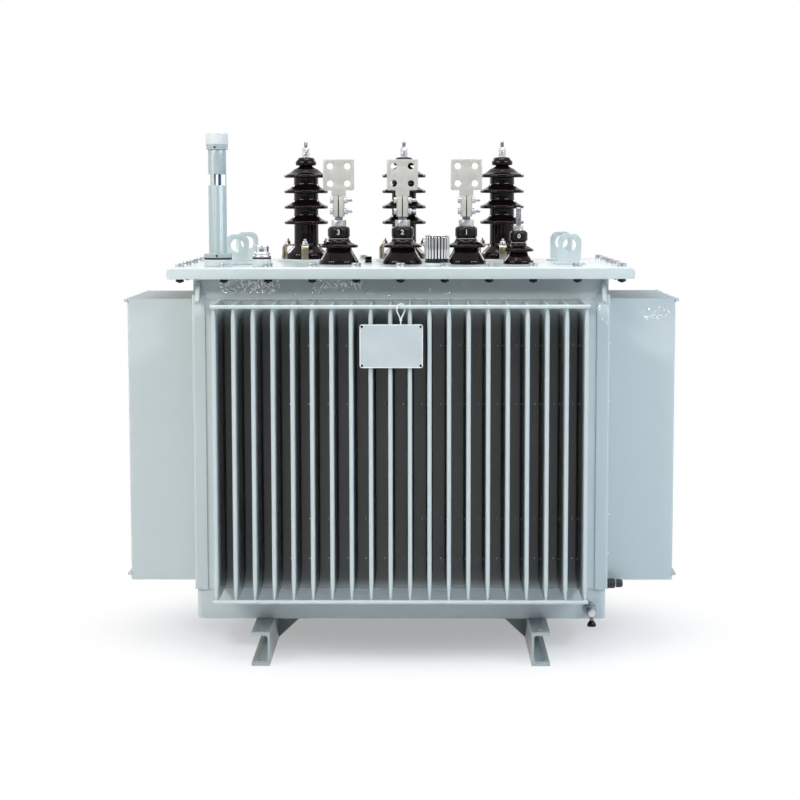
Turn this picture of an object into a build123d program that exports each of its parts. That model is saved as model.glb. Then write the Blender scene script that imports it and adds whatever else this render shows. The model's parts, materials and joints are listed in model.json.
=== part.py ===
from build123d import *
from math import asin, degrees, sqrt
import os

# Oil-filled power transformer: a tank with corrugated cooling walls on four sides, on two
# channel feet, with its bushings and fittings on a bolted lid. The front faces -Y and the
# origin is on the floor, midway between the feet.

# Feet
foot_gauge = 660
foot_hole_spacing = 800
foot_hole_diameter = 18
foot_length = 850
channel_height = 80
channel_width = 43
channel_web = 5
channel_flange = 8
channel_fillet = 7
channel_hole_back = 23
gusset_reach = 86
gusset_thickness = 6
gusset_spacing = 236

# Tank
tank_length = 986
tank_depth = 548
box_height = 74
box_wall = 6
box_corner = 14
floor_thickness = 8
wall_height = 696
wall_sheet = 3
post_leg = 27
post_sheet = 4
post_bend = 6
post_rise = 14
neck_height = 54
neck_wall = 6
hook_thickness = 10
hook_top = 14
hook_reach = 54
hook_height = 51
hook_nose = 10
hook_rise = 12
hook_inset = 13
hook_drop = 11

# Cooling fins, the same section on every side
fin_pitch = 45
fin_width = 10
fin_gap = 6
fin_seam = 3
fin_top_taper = 26
fin_bottom_taper = 40
fin_bank_margin = 30
front_fin_depth = 184
side_fin_depth = 168
side_fin_rise = 8
tie_bar_diameter = 9
tie_bar_overhang = 7
front_bar_drop = 5
front_bar_rise = 6
side_bar_drop = 3
side_bar_rise = 16

# Lid and its bolted joint
flange_overhang_x = 49
flange_overhang_y = 45
flange_lap = 3
flange_thickness = 12
flange_clearance = 3
gasket_thickness = 6
lid_corner = 11
lid_edge = 5
lid_bend = 15
lid_plate = 8
lid_rim = 28
lid_rim_wall = 6

# High voltage bushings, the rear row
hv_centre = 5
hv_row = 100
hv_count = 3
hv_pitch = 250
hv_pad_margin = 3
hv_pad_height = 6
hv_base_radius = 52
hv_base_height = 15
hv_flare_height = 20
hv_trunk_radius = 31
hv_shed_radius = 56
hv_shed_lip = 8
hv_shed_edge = 2
hv_shed_root = 42
hv_shed_slope = 14
hv_first_shed = 97
hv_shed_pitch = 39.2
hv_shed_count = 4
hv_neck_radius = 16
hv_neck_height = 8
hv_cap_radius = 27
hv_cap_height = 21
hv_nut_radius = 10
hv_nut_height = 25
hv_cap_edge = 9
hv_stud_radius = 5
hv_stud_height = 15
hv_clamp_count = 3
hv_clamp_width = 18
hv_clamp_sheet = 5
hv_clamp_height = 38
hv_clamp_bend = 13
hv_clamp_clearance = 0.3
hv_bolt_radius = 3.5
hv_bolt_gap = 1.5
hv_bolt_height = 14
hv_bolt_nut = 7.5
hv_bolt_nut_height = 8
thread_depth = 0.6

# Low voltage bushings, the front row
lv_first = -153
lv_row = -115
lv_count = 3
lv_pitch = 156
lv_base_radius = 48.5
lv_base_height = 8
lv_waist_radius = 31
lv_waist_height = 36
lv_shed_height = 44
lv_shed_lip = 6
lv_shed_radius = 47.5
lv_neck_radius = 27
lv_neck_height = 60
lv_ring_radius = 25
lv_ring_height = 5
lv_cap_radius = 27
lv_cap_height = 27
lv_cap_edge = 3
lv_nut_across = 32
lv_nut_height = 16
lv_stud_radius = 10.5
palm_width = 76
palm_height = 75
palm_thickness = 12
palm_hole_spacing = 42
palm_hole_diameter = 16
palm_neck_height = 14
palm_neck_width = 34
palm_corner = 5
palm_clamp_width = 28
palm_clamp_depth = 34
palm_clamp_corner = 4
palm_clamp_height = 50
palm_slit = 3
stud_bare_height = 8

# Neutral bushing
neutral_offset = 128
neutral_base_radius = 37.5
neutral_base_height = 8
neutral_waist_radius = 22
neutral_waist_height = 27
neutral_shed_height = 34
neutral_neck_radius = 20
neutral_neck_height = 50
neutral_ring_radius = 18
neutral_cap_radius = 22
neutral_cap_height = 27
neutral_nut_across = 20
neutral_nut_height = 11
neutral_stud_radius = 7
neutral_stud_height = 45

# Oil level gauge
gauge_inset_x = 116
gauge_inset_y = 73
gauge_flange_radius = 33
gauge_flange_height = 17
gauge_gasket_height = 4
gauge_collar_height = 10
gauge_tube_radius = 21.5
gauge_tube_wall = 2
gauge_tube_height = 245
gauge_cap_radius = 27
gauge_cap_height = 31
gauge_ring_radius = 26
gauge_ring_height = 11
gauge_cap_edge = 4
gauge_window_count = 3
gauge_window_turn = 60
gauge_window_width = 30
gauge_window_height = 26
gauge_window_drop = 58
gauge_float_radius = 3.5
gauge_float_shift = 5.5

# Filler, relief valve and plug
filler_inset_x = 221
filler_inset_y = 62
filler_radius = 22
filler_height = 18
filler_gasket = 4
filler_flange = 4
filler_cap_radius = 16.5
filler_cap_height = 24
filler_cap_edge = 2
relief_x = 87
relief_inset_y = 73
relief_base_radius = 32
relief_base_height = 8
relief_flange_radius = 30
relief_flange_height = 9
relief_radius = 29
relief_height = 57
relief_flute_count = 24
relief_flute_radius = 2.4
plug_x = -84
plug_y = 0
plug_radius = 9
plug_height = 15
plug_edge = 2

# Lifting lugs on the lid
lug_x = 405
lug_y = 140
lug_shift = 5
lug_width = 56
lug_height = 70
lug_thickness = 12
lug_corner = 18
lug_hole_diameter = 33
lug_hole_height = 43
lug_pad_length = 76
lug_pad_depth = 34
lug_pad_height = 4

# Fittings low on the tank
valve_inset = 38
valve_height = 30
valve_flange_radius = 15
valve_flange_thickness = 8
valve_body_radius = 10
valve_body_length = 70
valve_knob_radius = 11
valve_knob_height = 14
valve_knob_edge = 5
valve_stem_radius = 4
valve_stem_length = 22
valve_stem_setback = 16
stub_clearance = 1
stub_height = 5
stub_radius = 12
stub_length = 25
stub_cap_radius = 9.5
stub_cap_length = 9
stub_neck_length = 2

# Plate hung on the front tie bar by a looped tie
plate_width = 145
plate_height = 100
plate_thickness = 1.5
plate_corner = 6
plate_shift = 22
plate_drop = 45
tie_offset = 2
tie_radius = 1.6
tie_bend = 12
tie_turn = 40
tie_clearance = 0.4
tie_drop = 24
tie_head_radius = 3.2
tie_head_height = 5
tie_tail = 10

# Heights and faces that follow from the sizes above
box_top = channel_height + box_height
wall_top = box_top + wall_height
neck_top = wall_top + neck_height
flange_top = neck_top + flange_thickness
gasket_top = flange_top + gasket_thickness
lid_top = gasket_top + lid_plate
half_length = tank_length / 2
half_depth = tank_depth / 2
bank_inset = 2 * (post_leg + fin_bank_margin) + fin_width
front_fin_count = int((tank_length - bank_inset) / fin_pitch) + 1
side_fin_count = int((tank_depth - bank_inset) / fin_pitch) + 1
front_tip = half_depth + front_fin_depth
side_tip = half_length + side_fin_depth
side_bottom = box_top + side_fin_rise
bar_radius = tie_bar_diameter / 2
flange_length = tank_length + 2 * flange_overhang_x
flange_depth = tank_depth + 2 * flange_overhang_y
flange_opening_x = tank_length - 2 * flange_lap
flange_opening_y = tank_depth - 2 * flange_lap
lid_length = flange_length + 2 * (flange_clearance + lid_rim_wall)
lid_depth = flange_depth + 2 * (flange_clearance + lid_rim_wall)
foot_x = foot_gauge / 2
web_back = foot_x - channel_hole_back
gauge_x = gauge_inset_x - lid_length / 2
gauge_y = gauge_inset_y - lid_depth / 2
filler_x = filler_inset_x - lid_length / 2
filler_y = filler_inset_y - lid_depth / 2
relief_y = relief_inset_y - lid_depth / 2
valve_x = half_length - valve_inset
stub_y = post_leg + stub_clearance + stub_radius - half_depth

os.makedirs("parts", exist_ok=True)

# Channel foot, flanges outward, drilled near both ends
with BuildPart() as right_foot:
    with BuildSketch(Plane.XZ.offset(-foot_length / 2)) as channel:
        with Locations((web_back, 0)):
            Rectangle(channel_width, channel_height, align=(Align.MIN, Align.MIN))
        with Locations((web_back + channel_web, channel_flange)):
            Rectangle(
                channel_width,
                channel_height - 2 * channel_flange,
                align=(Align.MIN, Align.MIN),
                mode=Mode.SUBTRACT,
            )
        fillet(channel.vertices().group_by(Axis.X)[1], channel_fillet)
    extrude(amount=foot_length)
    with Locations((foot_x, 0, channel_height)):
        with GridLocations(0, foot_hole_spacing, 1, 2):
            Hole(foot_hole_diameter / 2, depth=channel_height)
right_foot.part.label = "right_foot"
export_step(right_foot.part, "parts/right_foot.step")

with BuildPart() as left_foot:
    mirror(right_foot.part, about=Plane.YZ)
left_foot.part.label = "left_foot"
export_step(left_foot.part, "parts/left_foot.step")

# Triangular gussets from the inner side of each web up to the tank floor
with BuildPart() as foot_gussets:
    for side in (-gusset_spacing / 2, gusset_spacing / 2):
        with BuildSketch(Plane.XZ.offset(side - gusset_thickness / 2)):
            with BuildLine():
                Polyline(
                    (web_back, 0),
                    (web_back, channel_height),
                    (web_back - gusset_reach, channel_height),
                    close=True,
                )
            make_face()
        extrude(amount=gusset_thickness)
    mirror(about=Plane.YZ)
foot_gussets.part.label = "foot_gussets"
export_step(foot_gussets.part, "parts/foot_gussets.step")

# Welded base box
with BuildPart() as base_box:
    with BuildSketch(Plane.XY.offset(channel_height)):
        RectangleRounded(tank_length, tank_depth, box_corner)
        RectangleRounded(
            tank_length - 2 * box_wall,
            tank_depth - 2 * box_wall,
            box_corner - box_wall,
            mode=Mode.SUBTRACT,
        )
    extrude(amount=box_height)
base_box.part.label = "base_box"
export_step(base_box.part, "parts/base_box.step")

with BuildPart() as tank_floor:
    with BuildSketch(Plane.XY.offset(channel_height)):
        RectangleRounded(
            tank_length - 2 * box_wall,
            tank_depth - 2 * box_wall,
            box_corner - box_wall,
        )
    extrude(amount=floor_thickness)
tank_floor.part.label = "tank_floor"
export_step(tank_floor.part, "parts/tank_floor.step")

# One fin seen from its tip: full width along the middle, pinched shut at top and bottom
def fin_outline(bottom):
    Polygon(
        (-fin_seam / 2, bottom),
        (fin_seam / 2, bottom),
        (fin_width / 2, bottom + fin_bottom_taper),
        (fin_width / 2, wall_top - fin_top_taper),
        (fin_seam / 2, wall_top),
        (-fin_seam / 2, wall_top),
        (-fin_width / 2, wall_top - fin_top_taper),
        (-fin_width / 2, bottom + fin_bottom_taper),
        align=None,
    )


# Front cooling wall, a sheet folded into hollow fins
with BuildPart() as front_wall:
    with BuildSketch(Plane.XZ.offset(half_depth - wall_sheet)):
        with Locations((0, box_top)):
            Rectangle(tank_length, wall_height, align=(Align.CENTER, Align.MIN))
    extrude(amount=wall_sheet)
    with BuildSketch(Plane.XZ.offset(half_depth)):
        with GridLocations(fin_pitch, 0, front_fin_count, 1):
            fin_outline(box_top)
    extrude(amount=front_fin_depth)
    with BuildSketch(Plane.XZ.offset(half_depth - wall_sheet)):
        with Locations((0, box_top + fin_bottom_taper)):
            with GridLocations(fin_pitch, 0, front_fin_count, 1):
                Rectangle(
                    fin_gap,
                    wall_height - fin_bottom_taper - fin_top_taper,
                    align=(Align.CENTER, Align.MIN),
                )
    extrude(amount=front_fin_depth, mode=Mode.SUBTRACT)
front_wall.part.label = "front_wall"
export_step(front_wall.part, "parts/front_wall.step")

with BuildPart() as rear_wall:
    mirror(front_wall.part, about=Plane.XZ)
rear_wall.part.label = "rear_wall"
export_step(rear_wall.part, "parts/rear_wall.step")

# Side cooling walls, made the same way
with BuildPart() as right_wall:
    with BuildSketch(Plane.YZ.offset(half_length - wall_sheet)):
        with Locations((0, box_top)):
            Rectangle(
                tank_depth - 2 * wall_sheet,
                wall_height,
                align=(Align.CENTER, Align.MIN),
            )
    extrude(amount=wall_sheet)
    with BuildSketch(Plane.YZ.offset(half_length)):
        with GridLocations(fin_pitch, 0, side_fin_count, 1):
            fin_outline(side_bottom)
    extrude(amount=side_fin_depth)
    with BuildSketch(Plane.YZ.offset(half_length - wall_sheet)):
        with Locations((0, side_bottom + fin_bottom_taper)):
            with GridLocations(fin_pitch, 0, side_fin_count, 1):
                Rectangle(
                    fin_gap,
                    wall_top - side_bottom - fin_bottom_taper - fin_top_taper,
                    align=(Align.CENTER, Align.MIN),
                )
    extrude(amount=side_fin_depth, mode=Mode.SUBTRACT)
right_wall.part.label = "right_wall"
export_step(right_wall.part, "parts/right_wall.step")

with BuildPart() as left_wall:
    mirror(right_wall.part, about=Plane.YZ)
left_wall.part.label = "left_wall"
export_step(left_wall.part, "parts/left_wall.step")

# Round tie bars welded across the fin tips, top and bottom
front_bar_length = (front_fin_count - 1) * fin_pitch + 2 * tie_bar_overhang
side_bar_length = (side_fin_count - 1) * fin_pitch + 2 * tie_bar_overhang

with BuildPart() as front_tie_bars:
    with BuildSketch(Plane.YZ.offset(-front_bar_length / 2)):
        with Locations(
            (-front_tip - bar_radius, wall_top - front_bar_drop),
            (-front_tip - bar_radius, box_top + front_bar_rise),
        ):
            Circle(bar_radius)
    extrude(amount=front_bar_length)
front_tie_bars.part.label = "front_tie_bars"
export_step(front_tie_bars.part, "parts/front_tie_bars.step")

with BuildPart() as rear_tie_bars:
    mirror(front_tie_bars.part, about=Plane.XZ)
rear_tie_bars.part.label = "rear_tie_bars"
export_step(rear_tie_bars.part, "parts/rear_tie_bars.step")

with BuildPart() as right_tie_bars:
    with BuildSketch(Plane.XZ.offset(-side_bar_length / 2)):
        with Locations(
            (side_tip + bar_radius, wall_top - side_bar_drop),
            (side_tip + bar_radius, side_bottom + side_bar_rise),
        ):
            Circle(bar_radius)
    extrude(amount=side_bar_length)
right_tie_bars.part.label = "right_tie_bars"
export_step(right_tie_bars.part, "parts/right_tie_bars.step")

with BuildPart() as left_tie_bars:
    mirror(right_tie_bars.part, about=Plane.YZ)
left_tie_bars.part.label = "left_tie_bars"
export_step(left_tie_bars.part, "parts/left_tie_bars.step")

# Folded posts lapped over the four corners
with BuildPart() as corner_posts:
    with BuildSketch(Plane.XY.offset(box_top)):
        with GridLocations(tank_length - post_leg, tank_depth - post_leg, 2, 2):
            RectangleRounded(post_leg + 2 * post_sheet, post_leg + 2 * post_sheet, post_bend)
        Rectangle(tank_length, tank_depth, mode=Mode.SUBTRACT)
        Rectangle(
            tank_length - 2 * post_leg,
            tank_depth + 4 * post_sheet,
            mode=Mode.SUBTRACT,
        )
        Rectangle(
            tank_length + 4 * post_sheet,
            tank_depth - 2 * post_leg,
            mode=Mode.SUBTRACT,
        )
    extrude(amount=wall_height + post_rise)
corner_posts.part.label = "corner_posts"
export_step(corner_posts.part, "parts/corner_posts.step")

# Band of plain plate between the cooling walls and the bolted flange
with BuildPart() as tank_neck:
    with BuildSketch(Plane.XY.offset(wall_top)):
        Rectangle(tank_length, tank_depth)
        Rectangle(
            tank_length - 2 * neck_wall,
            tank_depth - 2 * neck_wall,
            mode=Mode.SUBTRACT,
        )
    extrude(amount=neck_height)
tank_neck.part.label = "tank_neck"
export_step(tank_neck.part, "parts/tank_neck.step")

# Lashing plates that slope out from the neck near each corner
hook_x = half_length - hook_inset
hook_top_z = neck_top - hook_drop
hook_foot_z = hook_top_z - hook_height
with BuildPart() as corner_hooks:
    with BuildSketch(Plane.YZ.offset(hook_x - hook_thickness / 2)):
        with BuildLine():
            Polyline(
                (half_depth, hook_top_z),
                (half_depth + hook_top, hook_top_z),
                (half_depth + hook_reach, hook_foot_z + hook_nose),
                (half_depth + hook_reach - hook_nose, hook_foot_z),
                (half_depth + post_sheet, hook_foot_z + hook_rise),
                (half_depth + post_sheet, wall_top + post_rise),
                (half_depth, wall_top + post_rise),
                close=True,
            )
        make_face()
    extrude(amount=hook_thickness)
    mirror(about=Plane.XZ)
    mirror(about=Plane.YZ)
corner_hooks.part.label = "corner_hooks"
export_step(corner_hooks.part, "parts/corner_hooks.step")

# Flange round the top of the tank, with its gasket
with BuildPart() as tank_flange:
    with BuildSketch(Plane.XY.offset(neck_top)):
        RectangleRounded(flange_length, flange_depth, lid_corner - lid_rim_wall)
        Rectangle(flange_opening_x, flange_opening_y, mode=Mode.SUBTRACT)
    extrude(amount=flange_thickness)
tank_flange.part.label = "tank_flange"
export_step(tank_flange.part, "parts/tank_flange.step")

with BuildPart() as lid_gasket:
    with BuildSketch(Plane.XY.offset(flange_top)):
        RectangleRounded(flange_length, flange_depth, lid_corner - lid_rim_wall)
        Rectangle(flange_opening_x, flange_opening_y, mode=Mode.SUBTRACT)
    extrude(amount=gasket_thickness)
lid_gasket.part.label = "lid_gasket"
export_step(lid_gasket.part, "parts/lid_gasket.step")

# Lid pressed from plate, with its rim turned down over the flange
with BuildPart() as lid:
    with BuildSketch(Plane.XY.offset(lid_top - lid_rim)):
        RectangleRounded(lid_length, lid_depth, lid_corner)
    extrude(amount=lid_rim)
    with BuildSketch(Plane.XZ.offset(-lid_depth / 2)) as lid_front:
        with Locations((0, lid_top)):
            Rectangle(lid_length, lid_rim, align=(Align.CENTER, Align.MAX))
        fillet(lid_front.vertices().group_by(Axis.Y)[-1], lid_bend)
    extrude(amount=lid_depth, mode=Mode.INTERSECT)
    with BuildSketch(Plane.YZ.offset(-lid_length / 2)) as lid_end:
        with Locations((0, lid_top)):
            Rectangle(lid_depth, lid_rim, align=(Align.CENTER, Align.MAX))
        fillet(lid_end.vertices().group_by(Axis.Y)[-1], lid_edge)
    extrude(amount=lid_length, mode=Mode.INTERSECT)
    with BuildSketch(Plane.XY.offset(lid_top - lid_rim)):
        RectangleRounded(
            lid_length - 2 * lid_rim_wall,
            lid_depth - 2 * lid_rim_wall,
            lid_corner - lid_rim_wall,
        )
    extrude(amount=lid_rim - lid_plate, mode=Mode.SUBTRACT)
lid.part.label = "lid"
export_step(lid.part, "parts/lid.step")

# High voltage bushings: flared foot, plain trunk, four sheds, waist and cap
hv_shed_heights = [hv_first_shed + i * hv_shed_pitch for i in range(hv_shed_count)]
hv_trunk_top = hv_shed_heights[-1] + hv_shed_slope
hv_cap_bottom = hv_trunk_top + hv_neck_height
hv_cap_top = hv_cap_bottom + hv_cap_height
hv_base_z = lid_top + hv_pad_height
hv_bolt_circle = hv_base_radius + hv_bolt_gap + hv_bolt_radius
hv_clamp_outer = hv_bolt_circle + hv_bolt_nut + hv_clamp_sheet
hv_pad_radius = hv_clamp_outer + hv_pad_margin

with BuildPart() as hv_body:
    with BuildSketch(Plane.XZ):
        with BuildLine():
            Polyline(
                (0, 0),
                (hv_base_radius, 0),
                (hv_base_radius, hv_base_height),
                (hv_trunk_radius, hv_base_height + hv_flare_height),
                (hv_trunk_radius, hv_trunk_top),
                (hv_neck_radius, hv_cap_bottom),
                (hv_cap_radius, hv_cap_bottom),
                (hv_cap_radius, hv_cap_top - hv_cap_edge),
                (hv_cap_radius - hv_cap_edge, hv_cap_top),
                (0, hv_cap_top),
                close=True,
            )
        make_face()
    revolve(axis=Axis.Z)
    for height in hv_shed_heights:
        with BuildSketch(Plane.XZ):
            with BuildLine():
                Polyline(
                    (0, height - hv_shed_lip),
                    (hv_shed_radius - hv_shed_edge, height - hv_shed_lip),
                    (hv_shed_radius, height - hv_shed_lip + hv_shed_edge),
                    (hv_shed_radius, height - hv_shed_edge),
                    (hv_shed_radius - hv_shed_edge, height),
                    (hv_shed_root, height + hv_shed_edge),
                    (hv_trunk_radius, height + hv_shed_slope),
                    (0, height + hv_shed_slope),
                    close=True,
                )
            make_face()
        revolve(axis=Axis.Z)

with BuildPart() as hv_porcelain:
    with Locations((hv_centre, hv_row, hv_base_z)):
        with GridLocations(hv_pitch, 0, hv_count, 1):
            add(hv_body.part)
hv_porcelain.part.label = "hv_porcelain"
export_step(hv_porcelain.part, "parts/hv_porcelain.step")

with BuildPart() as hv_pads:
    with BuildSketch(Plane.XY.offset(lid_top)):
        with Locations((hv_centre, hv_row)):
            with GridLocations(hv_pitch, 0, hv_count, 1):
                Circle(hv_pad_radius)
    extrude(amount=hv_pad_height)
hv_pads.part.label = "hv_pads"
export_step(hv_pads.part, "parts/hv_pads.step")

with BuildPart() as hv_nuts:
    with BuildSketch(Plane.XY.offset(hv_base_z + hv_cap_top)):
        with Locations((hv_centre, hv_row)):
            with GridLocations(hv_pitch, 0, hv_count, 1):
                RegularPolygon(hv_nut_radius, 6)
                Circle(hv_stud_radius - thread_depth, mode=Mode.SUBTRACT)
    extrude(amount=hv_nut_height)
hv_nuts.part.label = "hv_nuts"
export_step(hv_nuts.part, "parts/hv_nuts.step")

with BuildPart() as hv_studs:
    with BuildSketch(Plane.XY.offset(hv_base_z + hv_cap_top)):
        with Locations((hv_centre, hv_row)):
            with GridLocations(hv_pitch, 0, hv_count, 1):
                Circle(hv_stud_radius - thread_depth)
    extrude(amount=hv_nut_height)
    with BuildSketch(Plane.XY.offset(hv_base_z + hv_cap_top + hv_nut_height)):
        with Locations((hv_centre, hv_row)):
            with GridLocations(hv_pitch, 0, hv_count, 1):
                Circle(hv_stud_radius)
    extrude(amount=hv_stud_height)
hv_studs.part.label = "hv_studs"
export_step(hv_studs.part, "parts/hv_studs.step")

# Bent clamps, each held by a stud and nut, that press the bushing's foot on its pad
hv_clamp_under = hv_clamp_height - hv_clamp_sheet
hv_flare_taper = (hv_base_radius - hv_trunk_radius) / hv_flare_height
hv_clamp_tip = (
    hv_base_radius - hv_flare_taper * (hv_clamp_under - hv_base_height) + hv_clamp_clearance
)
with BuildPart() as hv_clamp:
    with BuildSketch(Plane.XZ.offset(-hv_clamp_width / 2)):
        with BuildLine():
            FilletPolyline(
                (hv_clamp_outer, 0),
                (hv_clamp_outer, hv_clamp_height),
                (hv_clamp_tip, hv_clamp_height),
                radius=hv_clamp_bend,
            )
            offset(amount=hv_clamp_sheet, side=Side.LEFT)
        make_face()
    extrude(amount=hv_clamp_width)
    with BuildSketch(Plane.XY):
        with Locations((hv_bolt_circle, 0)):
            Circle(hv_bolt_radius)
    extrude(amount=hv_clamp_height + hv_bolt_height)
    with BuildSketch(Plane.XY.offset(hv_clamp_height)):
        with Locations((hv_bolt_circle, 0)):
            RegularPolygon(hv_bolt_nut, 6)
    extrude(amount=hv_bolt_nut_height)

with BuildPart() as hv_clamp_ring:
    with PolarLocations(0, hv_clamp_count, start_angle=-90):
        add(hv_clamp.part)

with BuildPart() as hv_clamps:
    with Locations((hv_centre, hv_row, hv_base_z)):
        with GridLocations(hv_pitch, 0, hv_count, 1):
            add(hv_clamp_ring.part)
hv_clamps.part.label = "hv_clamps"
export_step(hv_clamps.part, "parts/hv_clamps.step")

# Low voltage bushings
lv_centre = lv_first + (lv_count - 1) * lv_pitch / 2
lv_ring_top = lv_neck_height + lv_ring_height
lv_cap_top = lv_ring_top + lv_cap_height
lv_nut_top = lv_cap_top + lv_nut_height
palm_clamp_bottom = lv_nut_top + stud_bare_height
palm_clamp_top = palm_clamp_bottom + palm_clamp_height
palm_bottom = palm_clamp_top + palm_neck_height

with BuildPart() as lv_body:
    with BuildSketch(Plane.XZ):
        with BuildLine():
            Polyline(
                (0, 0),
                (lv_base_radius, 0),
                (lv_base_radius, lv_base_height),
                (lv_waist_radius, lv_waist_height),
                (lv_waist_radius, lv_shed_height - lv_shed_lip / 2),
                (lv_shed_radius, lv_shed_height - lv_shed_lip / 2),
                (lv_shed_radius, lv_shed_height + lv_shed_lip / 2),
                (lv_neck_radius, lv_shed_height + 2 * lv_shed_lip),
                (lv_neck_radius, lv_neck_height),
                (lv_ring_radius, lv_neck_height),
                (lv_ring_radius, lv_ring_top),
                (0, lv_ring_top),
                close=True,
            )
        make_face()
    revolve(axis=Axis.Z)

neutral_x = lv_first + (lv_count - 1) * lv_pitch + neutral_offset
neutral_ring_top = neutral_neck_height + lv_ring_height
neutral_cap_top = neutral_ring_top + neutral_cap_height
with BuildPart() as neutral_body:
    with BuildSketch(Plane.XZ):
        with BuildLine():
            Polyline(
                (0, 0),
                (neutral_base_radius, 0),
                (neutral_base_radius, neutral_base_height),
                (neutral_waist_radius, neutral_waist_height),
                (neutral_waist_radius, neutral_shed_height - lv_shed_lip / 2),
                (neutral_base_radius, neutral_shed_height - lv_shed_lip / 2),
                (neutral_base_radius, neutral_shed_height + lv_shed_lip / 2),
                (neutral_neck_radius, neutral_shed_height + 2 * lv_shed_lip),
                (neutral_neck_radius, neutral_neck_height),
                (neutral_ring_radius, neutral_neck_height),
                (neutral_ring_radius, neutral_ring_top),
                (0, neutral_ring_top),
                close=True,
            )
        make_face()
    revolve(axis=Axis.Z)

with BuildPart() as lv_porcelain:
    with Locations((lv_centre, lv_row, lid_top)):
        with GridLocations(lv_pitch, 0, lv_count, 1):
            add(lv_body.part)
    with Locations((neutral_x, lv_row, lid_top)):
        add(neutral_body.part)
lv_porcelain.part.label = "lv_porcelain"
export_step(lv_porcelain.part, "parts/lv_porcelain.step")

with BuildPart() as lv_caps:
    with BuildSketch(Plane.XY.offset(lid_top + lv_ring_top)):
        with Locations((lv_centre, lv_row)):
            with GridLocations(lv_pitch, 0, lv_count, 1):
                Circle(lv_cap_radius)
    extrude(amount=lv_cap_height)
    with BuildSketch(Plane.XY.offset(lid_top + neutral_ring_top)):
        with Locations((neutral_x, lv_row)):
            Circle(neutral_cap_radius)
    extrude(amount=neutral_cap_height)
    chamfer(lv_caps.edges().filter_by(GeomType.CIRCLE), lv_cap_edge)
lv_caps.part.label = "lv_caps"
export_step(lv_caps.part, "parts/lv_caps.step")

with BuildPart() as lv_nuts:
    with BuildSketch(Plane.XY.offset(lid_top + lv_cap_top)):
        with Locations((lv_centre, lv_row)):
            with GridLocations(lv_pitch, 0, lv_count, 1):
                RegularPolygon(lv_nut_across / 2, 6, major_radius=False)
                Circle(lv_stud_radius, mode=Mode.SUBTRACT)
    extrude(amount=lv_nut_height)
    with BuildSketch(Plane.XY.offset(lid_top + neutral_cap_top)):
        with Locations((neutral_x, lv_row)):
            RegularPolygon(neutral_nut_across / 2, 6, major_radius=False)
            Circle(neutral_stud_radius - thread_depth, mode=Mode.SUBTRACT)
    extrude(amount=neutral_nut_height)
lv_nuts.part.label = "lv_nuts"
export_step(lv_nuts.part, "parts/lv_nuts.step")

with BuildPart() as lv_studs:
    with BuildSketch(Plane.XY.offset(lid_top + lv_cap_top)):
        with Locations((lv_centre, lv_row)):
            with GridLocations(lv_pitch, 0, lv_count, 1):
                Circle(lv_stud_radius)
    extrude(amount=palm_clamp_top - lv_cap_top)
    with BuildSketch(Plane.XY.offset(lid_top + neutral_cap_top)):
        with Locations((neutral_x, lv_row)):
            Circle(neutral_stud_radius - thread_depth)
    extrude(amount=neutral_nut_height)
    with BuildSketch(Plane.XY.offset(lid_top + neutral_cap_top + neutral_nut_height)):
        with Locations((neutral_x, lv_row)):
            Circle(neutral_stud_radius)
    extrude(amount=neutral_stud_height)
lv_studs.part.label = "lv_studs"
export_step(lv_studs.part, "parts/lv_studs.step")

# Palm terminals: a split clamp on the stud under a flat pad with four holes
with BuildPart() as palm:
    with BuildSketch(Plane.XY.offset(palm_clamp_bottom)) as clamp_outline:
        Rectangle(palm_clamp_width, palm_clamp_depth)
        chamfer(clamp_outline.vertices(), palm_clamp_corner)
        Circle(lv_stud_radius, mode=Mode.SUBTRACT)
        with Locations((0, -palm_clamp_depth / 2)):
            Rectangle(palm_slit, palm_clamp_depth, mode=Mode.SUBTRACT)
    extrude(amount=palm_clamp_height)
    with BuildSketch(Plane.XY.offset(palm_clamp_top)):
        Rectangle(palm_neck_width, palm_thickness)
    extrude(amount=palm_neck_height)
    with BuildSketch(Plane.XZ.offset(-palm_thickness / 2)) as pad_outline:
        with Locations((0, palm_bottom)):
            Rectangle(palm_width, palm_height, align=(Align.CENTER, Align.MIN))
        fillet(pad_outline.vertices().group_by(Axis.Y)[0], palm_corner)
        with Locations((0, palm_bottom + palm_height / 2)):
            with GridLocations(palm_hole_spacing, palm_hole_spacing, 2, 2):
                Circle(palm_hole_diameter / 2, mode=Mode.SUBTRACT)
    extrude(amount=palm_thickness)

with BuildPart() as lv_palms:
    with Locations((lv_centre, lv_row, lid_top)):
        with GridLocations(lv_pitch, 0, lv_count, 1):
            add(palm.part)
lv_palms.part.label = "lv_palms"
export_step(lv_palms.part, "parts/lv_palms.step")

# Oil level gauge
gauge_gasket_z = lid_top + gauge_flange_height
gauge_collar_z = gauge_gasket_z + gauge_gasket_height
gauge_tube_z = gauge_collar_z + gauge_collar_height
gauge_ring_z = gauge_tube_z + gauge_tube_height
gauge_cap_z = gauge_ring_z + gauge_ring_height

with BuildPart() as gauge_flange:
    with BuildSketch(Plane.XY.offset(lid_top)):
        with Locations((gauge_x, gauge_y)):
            Circle(gauge_flange_radius)
    extrude(amount=gauge_flange_height)
gauge_flange.part.label = "gauge_flange"
export_step(gauge_flange.part, "parts/gauge_flange.step")

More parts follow.
